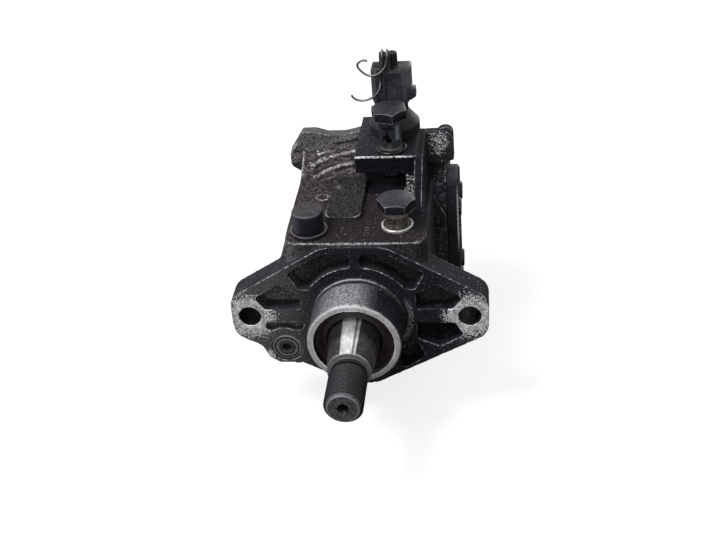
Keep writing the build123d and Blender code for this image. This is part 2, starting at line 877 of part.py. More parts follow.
cover_screw = socket_screw(cover_back - 2, 34)
cover_place = Plane(origin=(0, 0, 0), x_dir=(-1, 0, 0), z_dir=(0, 1, 0)).location
cover_screws = Compound([Pos(-x, z, 0) * cover_screw for x, z in cover_bolts])
put(cover_screws, cover_place, "cover_screws")

# The inner rotor: the path that the lobes of the outer rotor trace, set in by the lobe radius
rotor_points = []
for step in range(96):
    turn = 2 * math.pi * step / 96
    wide = lobe_count * turn
    along = -lobe_circle_r * math.sin(turn) - lobe_count * rotor_throw * math.sin(wide)
    across = lobe_circle_r * math.cos(turn) + lobe_count * rotor_throw * math.cos(wide)
    inset = (lobe_r + rotor_gap) / math.hypot(along, across)
    point_x = lobe_circle_r * math.cos(turn) + rotor_throw * math.cos(wide) - across * inset
    point_z = lobe_circle_r * math.sin(turn) + rotor_throw * math.sin(wide) + along * inset
    rotor_points.append((point_x, point_z))

with BuildPart() as inner_rotor:
    with BuildSketch(facing(rotor_front + rotor_width)):
        with BuildLine():
            Spline(*rotor_points, periodic=True)
        make_face()
        Circle(7.0, mode=Mode.SUBTRACT)
        with Locations((-7.1, 0)):
            Rectangle(2.7, 9)
    extrude(amount=rotor_width)
inner_rotor.part.label = "inner_rotor"
export_step(inner_rotor.part, "parts/inner_rotor.step")

# The outer rotor: a ring whose opening is a circle with five round lobes left standing
with BuildPart() as outer_rotor:
    with BuildSketch(facing(rotor_front + rotor_width)):
        with Locations((rotor_throw, 0)):
            Circle(rotor_r)
            Circle(lobe_circle_r - lobe_r + 2 * rotor_throw + 0.15, mode=Mode.SUBTRACT)
            with PolarLocations(lobe_circle_r, lobe_count):
                Circle(lobe_r)
            Circle(rotor_r, mode=Mode.INTERSECT)
    extrude(amount=rotor_width)
outer_rotor.part.label = "outer_rotor"
export_step(outer_rotor.part, "parts/outer_rotor.step")

# The plug that closes the gallery in the flange
with BuildPart() as gallery_plug:
    with BuildSketch(facing(8.6)):
        with Locations((plug_x, plug_z)):
            Circle(plug_r)
    extrude(amount=8.1)
    chamfer(gallery_plug.faces().sort_by(Axis.Y)[0].edges(), 0.9)
    with BuildSketch(facing(6.5)):
        with Locations((plug_x, plug_z)):
            Circle(2.6)
    extrude(amount=6.5, mode=Mode.SUBTRACT)
gallery_plug.part.label = "gallery_plug"
export_step(gallery_plug.part, "parts/gallery_plug.step")


def banjo(washer_top, shank_top, reach, turn):
    """A banjo bolt: hexagon head, waisted shank, threaded end and the bore inside it."""
    with BuildPart() as bolt:
        add(hex_head(banjo_flats, banjo_head, turn))
        with BuildSketch(Plane.XY):
            Circle(banjo_shank_r)
        extrude(amount=washer_top - shank_top)
        with BuildSketch(Plane.XY.offset(washer_top - shank_top)):
            Circle(banjo_thread_r - 0.03)
        extrude(amount=-reach)
        with BuildSketch(Plane.XY.offset(washer_top - shank_top - reach)):
            Circle(3.1)
        extrude(amount=reach + 8, mode=Mode.SUBTRACT)
    return bolt.part


lower_head_z = 50.4
upper_head_z = 76.7
with BuildPart() as lower_bolt:
    add(banjo(deck_z + washer_thick, lower_head_z, 12.5, 0))
    with BuildSketch(Plane.YZ):
        with Locations((0, -7.0)):
            Circle(1.4)
    extrude(amount=8, both=True, mode=Mode.SUBTRACT)
put(lower_bolt.part, Pos(lower_banjo_x, lower_banjo_y, lower_head_z), "lower_banjo_bolt")

# The upper bolt's cross hole looks out to the front and a little to the left
hole_z = 66.4
cross_hole = Plane(
    origin=(0, 0, hole_z - upper_head_z),
    x_dir=(0.966, -0.26, 0),
    z_dir=(-0.26, -0.966, 0),
)
with BuildPart() as upper_bolt:
    add(banjo(block_z + washer_thick, upper_head_z, 13.5, 44))
    with BuildSketch(cross_hole):
        Circle(banjo_hole_r)
    extrude(amount=8, both=True, mode=Mode.SUBTRACT)
put(upper_bolt.part, Pos(upper_banjo_x, upper_banjo_y, upper_head_z), "upper_banjo_bolt")

with BuildPart() as banjo_washer:
    with BuildSketch(Plane.XY):
        Circle(washer_r)
        Circle(banjo_thread_r, mode=Mode.SUBTRACT)
    extrude(amount=washer_thick)
    chamfer(banjo_washer.edges().sort_by(SortBy.LENGTH)[-2:], 0.25)
put(banjo_washer.part, Pos(lower_banjo_x, lower_banjo_y, deck_z), "lower_washer")
put(banjo_washer.part, Pos(upper_banjo_x, upper_banjo_y, block_z), "upper_washer")

# The inlet stub with its collar, and the black cap pushed over it
with BuildPart() as inlet_stub:
    with BuildSketch(Plane.XY.offset(deck_z)):
        Circle(9.2)
    extrude(amount=1.8)
    chamfer(inlet_stub.edges(), 0.3)
    with BuildSketch(Plane.XY.offset(deck_z - 11)):
        Circle(4.97)
    extrude(amount=20)
    with BuildSketch(Plane.XY.offset(deck_z - 11)):
        Circle(3)
    extrude(amount=20, mode=Mode.SUBTRACT)
put(inlet_stub.part, Pos(cap_x, cap_y, 0), "inlet_stub")

with BuildPart() as inlet_cap:
    with BuildSketch(Plane.XY.offset(deck_z + 1.8)):
        Circle(7.4)
    extrude(amount=10.4)
    fillet(inlet_cap.faces().sort_by(Axis.Z)[-1].edges(), 1.3)
    with BuildSketch(Plane.XY.offset(deck_z + 1.8)):
        Circle(5.0)
    extrude(amount=8.4, mode=Mode.SUBTRACT)
put(inlet_cap.part, Pos(cap_x, cap_y, 0), "inlet_cap")

# The metering valve: sleeve in its bore, round can above and the socket on top
with BuildPart() as valve_body:
    with BuildSketch(Plane.XY.offset(valve_low + 0.3)):
        Circle(valve_bore_r - 0.03)
    extrude(amount=block_z - valve_low - 0.3)
    for groove_z in (38.5, 52.5):
        with BuildSketch(Plane.XY.offset(groove_z)):
            Circle(valve_bore_r)
            Circle(valve_bore_r - 1.5, mode=Mode.SUBTRACT)
        extrude(amount=2, mode=Mode.SUBTRACT)
    with BuildSketch(Plane.XY.offset(block_z)):
        Circle(can_r - 0.2)
    extrude(amount=5)
    with BuildSketch(Plane.XY.offset(block_z + 5)):
        Circle(can_r - 0.2)
    extrude(amount=6.5, taper=39)
    with BuildSketch(Plane.XY.offset(block_z + 5)):
        Circle(7.4)
    extrude(amount=shell_low - 0.3 - block_z - 5)
    with BuildSketch(Plane.XY.offset(73.5)) as socket_plan:
        with Locations((0.4, 0.2)):
            Rectangle(13.8, 8.4)
        fillet(socket_plan.vertices(), 1.2)
    extrude(amount=9.9)
    with BuildSketch(Plane.XY.offset(76.5)):
        with Locations((0.4, 0.2)):
            Rectangle(11.2, 6.2)
    extrude(amount=8, mode=Mode.SUBTRACT)
    with BuildSketch(Plane.XY.offset(valve_low)):
        Circle(3.54)
    extrude(amount=24, mode=Mode.SUBTRACT)
    with BuildSketch(Plane.YZ):
        with Locations((0, 45)):
            Circle(1.5)
    extrude(amount=10, both=True, mode=Mode.SUBTRACT)
put(valve_body.part, Pos(valve_x, valve_y, 0), "metering_valve")

valve_rings = [Pos(valve_x, valve_y, z + 1) * Torus(valve_bore_r - 0.75, 0.74) for z in (38.5, 52.5)]
put(Compound(valve_rings), Pos(0, 0, 0), "valve_rings")

spool_low = 37.0
spool_top = 49.0
with BuildPart() as metering_spool:
    with BuildSketch(Plane.XY.offset(spool_low)):
        Circle(3.5)
    extrude(amount=spool_top - spool_low)
    with BuildSketch(Plane.XY.offset(43)):
        Circle(4)
        Circle(2.5, mode=Mode.SUBTRACT)
    extrude(amount=3, mode=Mode.SUBTRACT)
put(metering_spool.part, Pos(valve_x, valve_y, 0), "metering_spool")

spool_spring = Pos(valve_x, valve_y, spool_top + 0.1) * coil(2.6, 0.4, 8.7, 5)
put(spool_spring, Pos(0, 0, 0), "spool_spring")

with BuildPart() as socket_pins:
    with BuildSketch(Plane.XY.offset(76.5)):
        with Locations((valve_x - 3.1, valve_y + 0.2), (valve_x + 3.9, valve_y + 0.2)):
            Rectangle(2.8, 0.8)
    extrude(amount=5.5)
socket_pins.part.label = "socket_pins"
export_step(socket_pins.part, "parts/socket_pins.step")

# The plug shell that sits over the socket
seal_x = 7.5
seal_y = 82.3
seal_r = 1.9
with BuildPart() as plug_shell:
    # Seen from above the front is flat in the middle and slants back at both sides
    with BuildSketch(Plane.XY.offset(shell_low)):
        with BuildLine():
            Polyline(
                (shell_left, shell_back),
                (shell_left, shell_front + 3.4),
                (shell_left + 2.4, shell_front),
                (20.4, shell_front),
                (shell_right, shell_front + 5.2),
                (shell_right, shell_back),
                close=True,
            )
        make_face()
    extrude(amount=shell_top - shell_low)
    chamfer(plug_shell.faces().sort_by(Axis.Z)[-1].edges(), 0.9)
    # Both lower corners slant in towards the valve
    with BuildSketch(facing(shell_back)):
        with BuildLine():
            Polyline(
                (shell_left + 1.4, shell_low),
                (shell_left, shell_low + 2.2),
                (shell_left, shell_top),
                (shell_right, shell_top),
                (shell_right, shell_low + 2.0),
                (shell_right - 1.8, shell_low),
                close=True,
            )
        make_face()
    extrude(amount=shell_back - shell_front, mode=Mode.INTERSECT)
    # The lug that the wire clip hangs on has a round top
    with BuildSketch(sideways(9.9)):
        with Locations((lug_middle, lug_axis_z)):
            Circle(lug_r)
        with Locations((lug_middle, (shell_top - 2 + lug_axis_z) / 2)):
            Rectangle(2 * lug_r, lug_axis_z - shell_top + 2)
    extrude(amount=5.2)
    # The latch nose on the right
    with BuildSketch(facing(82.4)):
        with BuildLine():
            Polyline((24, 83.4), (26.8, 83.0), (26.9, 78.9), (24, 76.8), close=True)
        make_face()
    extrude(amount=4.8)
    # The low field in the front face and the slot of the clip
    with BuildSketch(facing(shell_front + 1)) as field:
        with Locations((15.6, 84.6)):
            Rectangle(8, 14.0)
        fillet(field.vertices(), 0.8)
    extrude(amount=1, mode=Mode.SUBTRACT)
    with BuildSketch(facing(shell_front + 1.9)):
        with Locations((9.7, 88.4)):
            Rectangle(3.2, 12.4)
    extrude(amount=2, mode=Mode.SUBTRACT)
    # The hollow that takes the socket, and the seat of the wire seal
    with BuildSketch(Plane.XY.offset(shell_low)) as hollow:
        with Locations((valve_x + 0.4, valve_y + 0.2)):
            Rectangle(14.4, 9.0)
        fillet(hollow.vertices(), 1.4)
    extrude(amount=8.4, mode=Mode.SUBTRACT)
    with BuildSketch(Plane.XY.offset(shell_top)):
        with Locations((seal_x, seal_y)):
            Circle(seal_r)
    extrude(amount=-5, mode=Mode.SUBTRACT)
    with BuildSketch(Plane.XY.offset(shell_top)):
        with Locations((15.8, 81.9)):
            Circle(2.45)
    extrude(amount=-6, mode=Mode.SUBTRACT)
plug_shell.part.label = "plug_shell"
export_step(plug_shell.part, "parts/plug_shell.step")

with BuildPart() as wire_seal:
    with BuildSketch(Plane.XY.offset(shell_top - 4.8)):
        with Locations((seal_x, seal_y)):
            Circle(seal_r)
            Circle(0.7, mode=Mode.SUBTRACT)
    extrude(amount=5.2)
wire_seal.part.label = "wire_seal"
export_step(wire_seal.part, "parts/wire_seal.step")

with BuildPart() as wire_sleeve:
    with BuildSketch(Plane.XY.offset(shell_top - 5.8)):
        with Locations((15.8, 81.9)):
            Circle(2.45)
    extrude(amount=13)
    fillet(wire_sleeve.faces().sort_by(Axis.Z)[-1].edges(), 0.7)
    with BuildSketch(Plane.XY.offset(shell_top + 7.2)):
        with Locations((15.8, 81.9)):
            Circle(0.9)
    extrude(amount=-4, mode=Mode.SUBTRACT)
wire_sleeve.part.label = "wire_sleeve"
export_step(wire_sleeve.part, "parts/wire_sleeve.step")

# The bent wire clip: it goes over the lug, and its two arms curl away to the left
bend_left = 11.5
bend_right = 14.0
bend_r = 2.4
clip_y = lug_middle - bend_r
lower_arm = Spline(
    (bend_left, clip_y, lug_axis_z),
    (11.2, clip_y, 99.4),
    (10.8, clip_y, 96.4),
    (10.2, clip_y + 0.7, 93.3),
    (9.9, clip_y + 1.5, 90.2),
    (9.7, clip_y + 1.3, 87.6),
    (9.2, clip_y + 0.5, 85.0),
    (8.2, clip_y, 83.0),
    (5.3, clip_y, 80.3),
    (1.8, clip_y, 79.0),
    (-2.2, clip_y, 79.3),
    (-4.9, clip_y, 82.0),
)
upper_arm = Spline(
    (bend_right, clip_y, lug_axis_z),
    (13.6, clip_y, 99.6),
    (12.6, clip_y - 0.2, 96.7),
    (9.9, clip_y - 0.9, 93.8),
    (5.2, clip_y - 0.5, 92.3),
    (0.6, clip_y, 95.0),
    (-0.8, clip_y, 98.0),
    (1.1, clip_y, 100.0),
    (4.1, clip_y, 99.8),
)


def over_lug(x):
    """The half turn of the wire over the lug, at distance x."""
    return ThreePointArc(
        (x, clip_y, lug_axis_z),
        (x, lug_middle, lug_axis_z + bend_r),
        (x, lug_middle + bend_r, lug_axis_z),
    )


left_end = (bend_left, lug_middle + bend_r, lug_axis_z)
right_end = (bend_right, lug_middle + bend_r, lug_axis_z)
clip_pieces = []
for stretch in (lower_arm, over_lug(bend_left), Line(left_end, right_end), over_lug(bend_right), upper_arm):
    section = Plane(origin=stretch @ 0, z_dir=stretch % 0) * Circle(wire_r)
    clip_pieces.append(sweep(section, path=stretch))
wire_clip = clip_pieces[0]
for piece in clip_pieces[1:]:
    wire_clip += piece
wire_clip += Pos(*left_end) * Sphere(wire_r)
wire_clip += Pos(*right_end) * Sphere(wire_r)
put(wire_clip, Pos(0, 0, 0), "wire_clip")
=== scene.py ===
# %% [markdown]
# # Dressing a high-pressure fuel pump
# The pump comes as exact solids: a cast housing, a tapered shaft, two hollow bolts, a metering valve and
# its plug.
# This notebook adds what exact solids can't carry: rounded cast edges, a cut thread, grime, wear and light.
# The solids are loaded first, because every new piece is placed and sized by them.

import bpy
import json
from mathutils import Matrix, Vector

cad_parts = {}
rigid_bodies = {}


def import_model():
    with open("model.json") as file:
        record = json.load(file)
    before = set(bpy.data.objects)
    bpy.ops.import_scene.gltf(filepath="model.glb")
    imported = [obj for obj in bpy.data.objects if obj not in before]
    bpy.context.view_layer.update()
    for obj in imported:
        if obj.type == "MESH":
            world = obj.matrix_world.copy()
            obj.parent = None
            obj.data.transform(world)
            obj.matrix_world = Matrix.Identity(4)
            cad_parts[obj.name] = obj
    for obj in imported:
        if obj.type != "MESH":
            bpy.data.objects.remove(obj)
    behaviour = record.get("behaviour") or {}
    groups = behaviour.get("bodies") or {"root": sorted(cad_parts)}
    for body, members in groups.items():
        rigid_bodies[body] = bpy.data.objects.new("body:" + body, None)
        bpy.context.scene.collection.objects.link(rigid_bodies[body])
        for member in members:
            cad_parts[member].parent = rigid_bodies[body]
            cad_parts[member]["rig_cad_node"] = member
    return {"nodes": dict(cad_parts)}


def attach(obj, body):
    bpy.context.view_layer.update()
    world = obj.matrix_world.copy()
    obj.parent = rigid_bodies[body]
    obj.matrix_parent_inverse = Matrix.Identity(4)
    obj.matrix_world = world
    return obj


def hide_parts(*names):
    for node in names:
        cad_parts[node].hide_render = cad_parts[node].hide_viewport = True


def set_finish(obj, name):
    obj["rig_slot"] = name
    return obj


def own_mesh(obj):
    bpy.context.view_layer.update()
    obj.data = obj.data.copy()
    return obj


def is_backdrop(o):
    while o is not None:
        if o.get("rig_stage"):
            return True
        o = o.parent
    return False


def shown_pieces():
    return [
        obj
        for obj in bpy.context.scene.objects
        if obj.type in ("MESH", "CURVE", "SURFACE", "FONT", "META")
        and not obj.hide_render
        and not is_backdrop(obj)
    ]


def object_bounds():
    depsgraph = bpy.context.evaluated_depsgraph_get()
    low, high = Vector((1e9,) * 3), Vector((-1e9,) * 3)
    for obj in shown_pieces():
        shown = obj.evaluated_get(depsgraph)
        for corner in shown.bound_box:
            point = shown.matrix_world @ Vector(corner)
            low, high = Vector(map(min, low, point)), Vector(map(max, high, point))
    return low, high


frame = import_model()
solid_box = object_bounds()
print("solids loaded:", len(frame["nodes"]))

# %% [markdown]
# Blender's unit is the metre and a pump is drawn in millimetres, so one factor turns one into the other.
# A few helpers follow. Each does what a hand would do in the window: select one piece, open it, pick some
# faces, close it.

# %% Tools of the bench
import json
import math

import bpy
from mathutils import Matrix, Vector

MM = 0.001


def take(piece):
    """Selects only this piece and makes it the one that operators work on."""
    if bpy.context.object and bpy.context.object.mode != "OBJECT":
        bpy.ops.object.mode_set(mode="OBJECT")
    bpy.ops.object.select_all(action="DESELECT")
    piece.select_set(True)
    bpy.context.view_layer.objects.active = piece
    return piece


def open_with(piece, test):
    """Opens a piece for editing with only the faces selected whose middle, in mm, passes the test."""
    take(piece)
    mesh = piece.data
    for group in (mesh.vertices, mesh.edges, mesh.polygons):
        group.foreach_set("select", [False] * len(group))
    bpy.context.tool_settings.mesh_select_mode = (False, False, True)
    for face in mesh.polygons:
        face.select = test(face.center / MM, face.normal)
    bpy.ops.object.mode_set(mode="EDIT")


def close():
    """Leaves edit mode."""
    bpy.ops.object.mode_set(mode="OBJECT")


def everything(middle, normal):
    """The test that every face passes."""
    return True


def modify(piece, kind, **settings):
    """Adds a modifier with these settings and applies it at once."""
    take(piece)
    modifier = piece.modifiers.new(kind.lower(), kind)
    for name, value in settings.items():
        setattr(modifier, name, value)
    bpy.ops.object.modifier_apply(modifier=modifier.name)


def settle(piece, name):
    """Puts a new piece's place into its mesh, so that its object stands unturned at the origin."""
    take(piece)
    bpy.ops.object.transform_apply(location=True, rotation=True, scale=True)
    piece.name = piece.data.name = name
    return piece


def smooth(piece, degrees=32):
    """Shades a piece smooth, apart from edges sharper than this angle."""
    take(piece)
    bpy.ops.object.shade_smooth_by_angle(angle=math.radians(degrees))
    return piece


def copy_of(node, name):
    """A new mesh in the shape of a solid, with its loose triangles joined into one skin."""
    piece = bpy.data.objects.new(name, frame["nodes"][node].data.copy())
    bpy.context.collection.objects.link(piece)
    open_with(piece, everything)
    bpy.ops.mesh.customdata_custom_splitnormals_clear()
    bpy.ops.mesh.remove_doubles(threshold=2e-6)
    close()
    piece.data.materials.clear()
    return piece


def join(main, others, name):
    """Joins pieces into one mesh."""
    take(main)
    for other in others:
        other.select_set(True)
    bpy.ops.object.join()
    main.name = main.data.name = name
    return main


def slot_of(node):
    """The finish that a solid has in the drawing."""
    return frame["nodes"][node].material_slots[0].material.name.split(".")[0]


def fit(piece, body, slot, *nodes):
    """Lets a piece move with a body, names its finish, and hides the solids that it stands for."""
    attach(piece, body)
    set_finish(piece, slot)
    if nodes:
        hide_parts(*nodes)
    print(piece.name, "faces", len(piece.data.polygons))
    return piece


print("one millimetre is", MM, "of Blender's units")

# %% [markdown]
# Round parts are made as on a lathe. The outline of half the section is drawn by pulling one corner after
# another out of a single point.
# Then the spin operator carries it round the axis. A cylinder primitive would need the same steps again for
# every groove and chamfer.

# %% A lathe
def turned(name, outline, steps=96):
    """A piece turned round the Y axis. outline is a closed list of (radius, place along the axis) in mm."""
    corners = [Vector((radius, along, 0)) * MM for radius, along in outline]
    bpy.ops.object.select_all(action="DESELECT")
    bpy.ops.mesh.primitive_plane_add(size=0.1 * MM, location=corners[0])
    bpy.context.tool_settings.mesh_select_mode = (True, False, False)
    bpy.ops.object.mode_set(mode="EDIT")
    bpy.ops.mesh.select_all(action="SELECT")
    bpy.ops.mesh.merge(type="CENTER")
    for here, there in zip(corners, corners[1:] + corners[:1]):
        bpy.ops.mesh.extrude_region_move(TRANSFORM_OT_translate={"value": there - here})
    bpy.ops.mesh.select_all(action="SELECT")
    bpy.ops.mesh.remove_doubles(threshold=1e-6)
    bpy.ops.mesh.spin(steps=steps, angle=2 * math.pi, center=(0, 0, 0), axis=(0, 1, 0))
    bpy.ops.mesh.select_all(action="SELECT")
    bpy.ops.mesh.remove_doubles(threshold=1e-6)
    bpy.ops.mesh.normals_make_consistent(inside=False)
    close()
    return smooth(settle(bpy.context.object, name))


print("the lathe turns round the shaft's own axis, Y")

# %% [markdown]
# A finish is a tree of nodes. Written node by node it is long and hard to read, so two small classes let
# sums stand for them.
# `Sum` wraps one socket: adding or multiplying it adds the Math node that does so. `Finish` owns one
# material and makes every other node.

# %% Sums that become shader nodes
class Sum:
    """One value in a finish. Arithmetic on it adds Math nodes."""

    def __init__(self, finish, socket):
        self.finish, self.socket = finish, socket

    def _math(self, operation, first, second):
        return self.finish.node("ShaderNodeMath", {"operation": operation}, {0: first, 1: second})

    def __add__(self, other): return self._math("ADD", self, other)
    def __radd__(self, other): return self._math("ADD", other, self)
    def __sub__(self, other): return self._math("SUBTRACT", self, other)
    def __rsub__(self, other): return self._math("SUBTRACT", other, self)
    def __mul__(self, other): return self._math("MULTIPLY", self, other)
    def __rmul__(self, other): return self._math("MULTIPLY", other, self)


def tone(red, green, blue):
    """A colour picked from a screen, 0 to 255 each, as the light value that shaders use."""
    levels = [v / 255 for v in (red, green, blue)]
    return tuple(((v + 0.055) / 1.055) ** 2.4 if v > 10 / 255 else v / 12.92 for v in levels) + (1.0,)


print("middle grey of a screen is", round(tone(128, 128, 128)[0], 3), "of full light")

# %% [markdown]
# `Finish` is the painter's box. `noise` gives clouds of a chosen size, `step` and `between` cut a mask out
# of any value,
# `away` and `facing` say where a point lies and which way it looks, and `blend`, `mottle` and `paint` lay
# colours by such masks.
# `edges` finds sharp corners, and `lay` ends the finish as one surface.

# %% The painter's box
class Finish:
    """One material, and the ways to make its values."""

    def __init__(self, name):
        self.material = bpy.data.materials.new(name)
        self.material.use_nodes = True
        self.tree = self.material.node_tree
        self.tree.nodes.clear()
        self.place = self.node("ShaderNodeTexCoord", out="Object")
        self.place = self.node("ShaderNodeVectorMath", {"operation": "SCALE"}, {0: self.place, "Scale": 1 / MM})
        self.x, self.y, self.z = (self.node("ShaderNodeSeparateXYZ", {}, {0: self.place}, out=k) for k in "XYZ")

    def node(self, kind, settings=None, inputs=None, out=0):
        """Adds a node, applies its settings, fills its sockets and gives one of its outputs."""
        made = self.tree.nodes.new(kind)
        for name, value in (settings or {}).items():
            setattr(made, name, value)
        for key, value in (inputs or {}).items():
            if isinstance(value, Sum):
                self.tree.links.new(value.socket, made.inputs[key])
            else:
                made.inputs[key].default_value = value
        return Sum(self, made.outputs[out])

    def noise(self, size, detail=3.0, rough=0.55, stretch=(1, 1, 1), shift=0.0):
        """A cloudy pattern from 0 to 1 whose blotches are about size mm wide."""
        where = self.place
        if stretch != (1, 1, 1) or shift:
            where = self.node("ShaderNodeMapping", {}, {"Vector": where, "Scale": stretch, "Location": (shift,) * 3})
        amounts = {"Vector": where, "Scale": 1 / size, "Detail": detail, "Roughness": rough}
        return self.node("ShaderNodeTexNoise", {}, amounts)

    def step(self, value, low, high):
        """0 below low, 1 above high and a soft change between."""
        return self.node(
            "ShaderNodeMapRange",
            {"interpolation_type": "SMOOTHSTEP"},
            {"Value": value, "From Min": low, "From Max": high, "To Min": 0.0, "To Max": 1.0},
        )

    def blend(self, share, first, second):
        """A colour between two, by share."""
        return self.node("ShaderNodeMix", {"data_type": "RGBA"}, {"Factor": share, 6: first, 7: second}, out=2)

    def larger(self, first, second):
        """The larger of two values."""
        return self.node("ShaderNodeMath", {"operation": "MAXIMUM"}, {0: first, 1: second})

    def smaller(self, first, second):
        """The smaller of two values."""
        return self.node("ShaderNodeMath", {"operation": "MINIMUM"}, {0: first, 1: second})

    def mottle(self, value, dark, pale, low=0.35, high=0.65):
        """A colour that goes from dark to pale with a pattern."""
        return self.blend(self.step(value, low, high), tone(*dark), tone(*pale))

    def paint(self, share, under, value, dark, pale, low=0.35, high=0.65):
        """Lays a mottled colour over another, by share."""
        return self.blend(share, under, self.mottle(value, dark, pale, low, high))

    def away(self, x, y, z, squash=(1, 1, 1)):
        """How far, in mm, a point is from a place. squash shortens distances along each axis."""
        scaled = self.node("ShaderNodeMapping", {}, {"Vector": self.place, "Scale": squash})
        spot = tuple(a * b for a, b in zip((x, y, z), squash))
        return self.node("ShaderNodeVectorMath", {"operation": "DISTANCE"}, {0: scaled, 1: spot}, out="Value")

    def facing(self, axis):
        """How far a surface faces along an axis of the pump, from -1 to 1."""
        normal = self.node("ShaderNodeTexCoord", out="Normal")
        return self.node("ShaderNodeSeparateXYZ", {}, {0: normal}, out=axis)

    def between(self, value, low, high, soft):
        """1 where value is between low and high, with soft borders."""
        return self.step(value, low - soft, low + soft) * (1 - self.step(value, high - soft, high + soft))

    def edges(self, width, low=0.015, high=0.12):
        """1 along edges, in a band about width mm wide, and 0 on flat places. Higher bounds keep only sharp edges."""
        rounded = self.node("ShaderNodeBevel", {"samples": 6}, {"Radius": width * MM})
        flat = self.node("ShaderNodeNewGeometry", out="Normal")
        along = self.node("ShaderNodeVectorMath", {"operation": "DOT_PRODUCT"}, {0: rounded, 1: flat}, out="Value")
        return self.step(1 - along, low, high)

    def lay(self, colour, roughness=0.5, metallic=0.0, height=None, depth=0.1, more=None):
        """Ends the finish. The bump's full height is depth mm, and more sets other sockets."""
        inputs = {"Base Color": colour, "Roughness": roughness, "Metallic": metallic}
        if height is not None:
            bump = {"Height": height, "Strength": 1.0, "Distance": depth * MM}
            inputs["Normal"] = self.node("ShaderNodeBump", {}, bump)
        inputs.update(more or {})
        surface = self.node("ShaderNodeBsdfPrincipled", {}, inputs)
        output = self.tree.nodes.new("ShaderNodeOutputMaterial")
        self.tree.links.new(surface.socket, output.inputs["Surface"])
        return self.material


print("the painter's box holds:", [word for word in vars(Finish) if not word.startswith("_")])

# %% [markdown]
# The camera stands in front of the shaft end, a little to the right, and looks down at about a third of a
# right angle.
# It is also rolled by five degrees, as a camera held in the hand is. The lens is that of a phone held half
# a metre away.

# %% Camera
def camera_at(azimuth, elevation, roll, distance, target, lens):
    """A camera that looks at a point, in mm, from a direction in degrees."""
    a, e, r = (math.radians(v) for v in (azimuth, elevation, roll))
    back = Vector((math.sin(a) * math.cos(e), -math.cos(a) * math.cos(e), math.sin(e)))
    right = (-back).cross(Vector((0, 0, 1))).normalized()
    up = right.cross(-back)
    across = right * math.cos(r) - up * math.sin(r)
    upwards = right * math.sin(r) + up * math.cos(r)
    eye = (Vector(target) + back * distance) * MM
    data = bpy.data.cameras.new("camera")
    data.lens, data.sensor_width, data.clip_start = lens, 36.0, 0.01
    camera = bpy.data.objects.new("camera", data)
    bpy.context.collection.objects.link(camera)
    camera.matrix_world = Matrix.Translation(eye) @ Matrix((across, upwards, back)).transposed().to_4x4()
    bpy.context.scene.camera = camera
    return camera


camera = camera_at(8.395, 33.204, 5.017, 554.026, (3.063, 0, 26.271), 58.76)
print("camera stands at", [round(v, 3) for v in camera.matrix_world.translation])

# %% [markdown]
# A studio photograph has a white ground, but white light from all sides would make the pump look flat. So
# the sky is white
# only to the camera and to mirrors. To every other ray it is a plain grey that lights the pump evenly.

# %% Sky
def seen_white(tree, plain):
    """1 for camera, glossy and transmission rays, else 0, as the factor between a plain surface and white. The plain
    argument is not used.
    """
    path = tree.nodes.new("ShaderNodeLightPath")
    first, second = tree.nodes.new("ShaderNodeMath"), tree.nodes.new("ShaderNodeMath")
    first.operation = second.operation = "MAXIMUM"
    tree.links.new(path.outputs["Is Camera Ray"], first.inputs[0])
    tree.links.new(path.outputs["Is Glossy Ray"], first.inputs[1])
    tree.links.new(first.outputs[0], second.inputs[0])
    tree.links.new(path.outputs["Is Transmission Ray"], second.inputs[1])
    return second.outputs[0]


def make_sky(light):
    """A world that lights evenly and is white behind the pump."""
    world = bpy.data.worlds.new("sky")
    world.use_nodes = True
    tree = world.node_tree
    tree.nodes.clear()
    plain, white = tree.nodes.new("ShaderNodeBackground"), tree.nodes.new("ShaderNodeBackground")
    plain.inputs["Color"].default_value = (0.96, 0.98, 1.0, 1.0)
    plain.inputs["Strength"].default_value = light
    white.inputs["Color"].default_value = (1.0, 1.0, 1.0, 1.0)
    mix, output = tree.nodes.new("ShaderNodeMixShader"), tree.nodes.new("ShaderNodeOutputWorld")
    tree.links.new(seen_white(tree, plain), mix.inputs[0])
    tree.links.new(plain.outputs[0], mix.inputs[1])
    tree.links.new(white.outputs[0], mix.inputs[2])
    tree.links.new(mix.outputs[0], output.inputs["Surface"])
    bpy.context.scene.world = world


make_sky(0.38)
print("sky:", bpy.context.scene.world.name)

# %% [markdown]
# The floor works like the sky, and it also keeps the pump's soft shadow. A dark sheet lies over it that
# only mirrors see:
# a polished cone shows what lies round it, and on a workbench that is mostly dark.

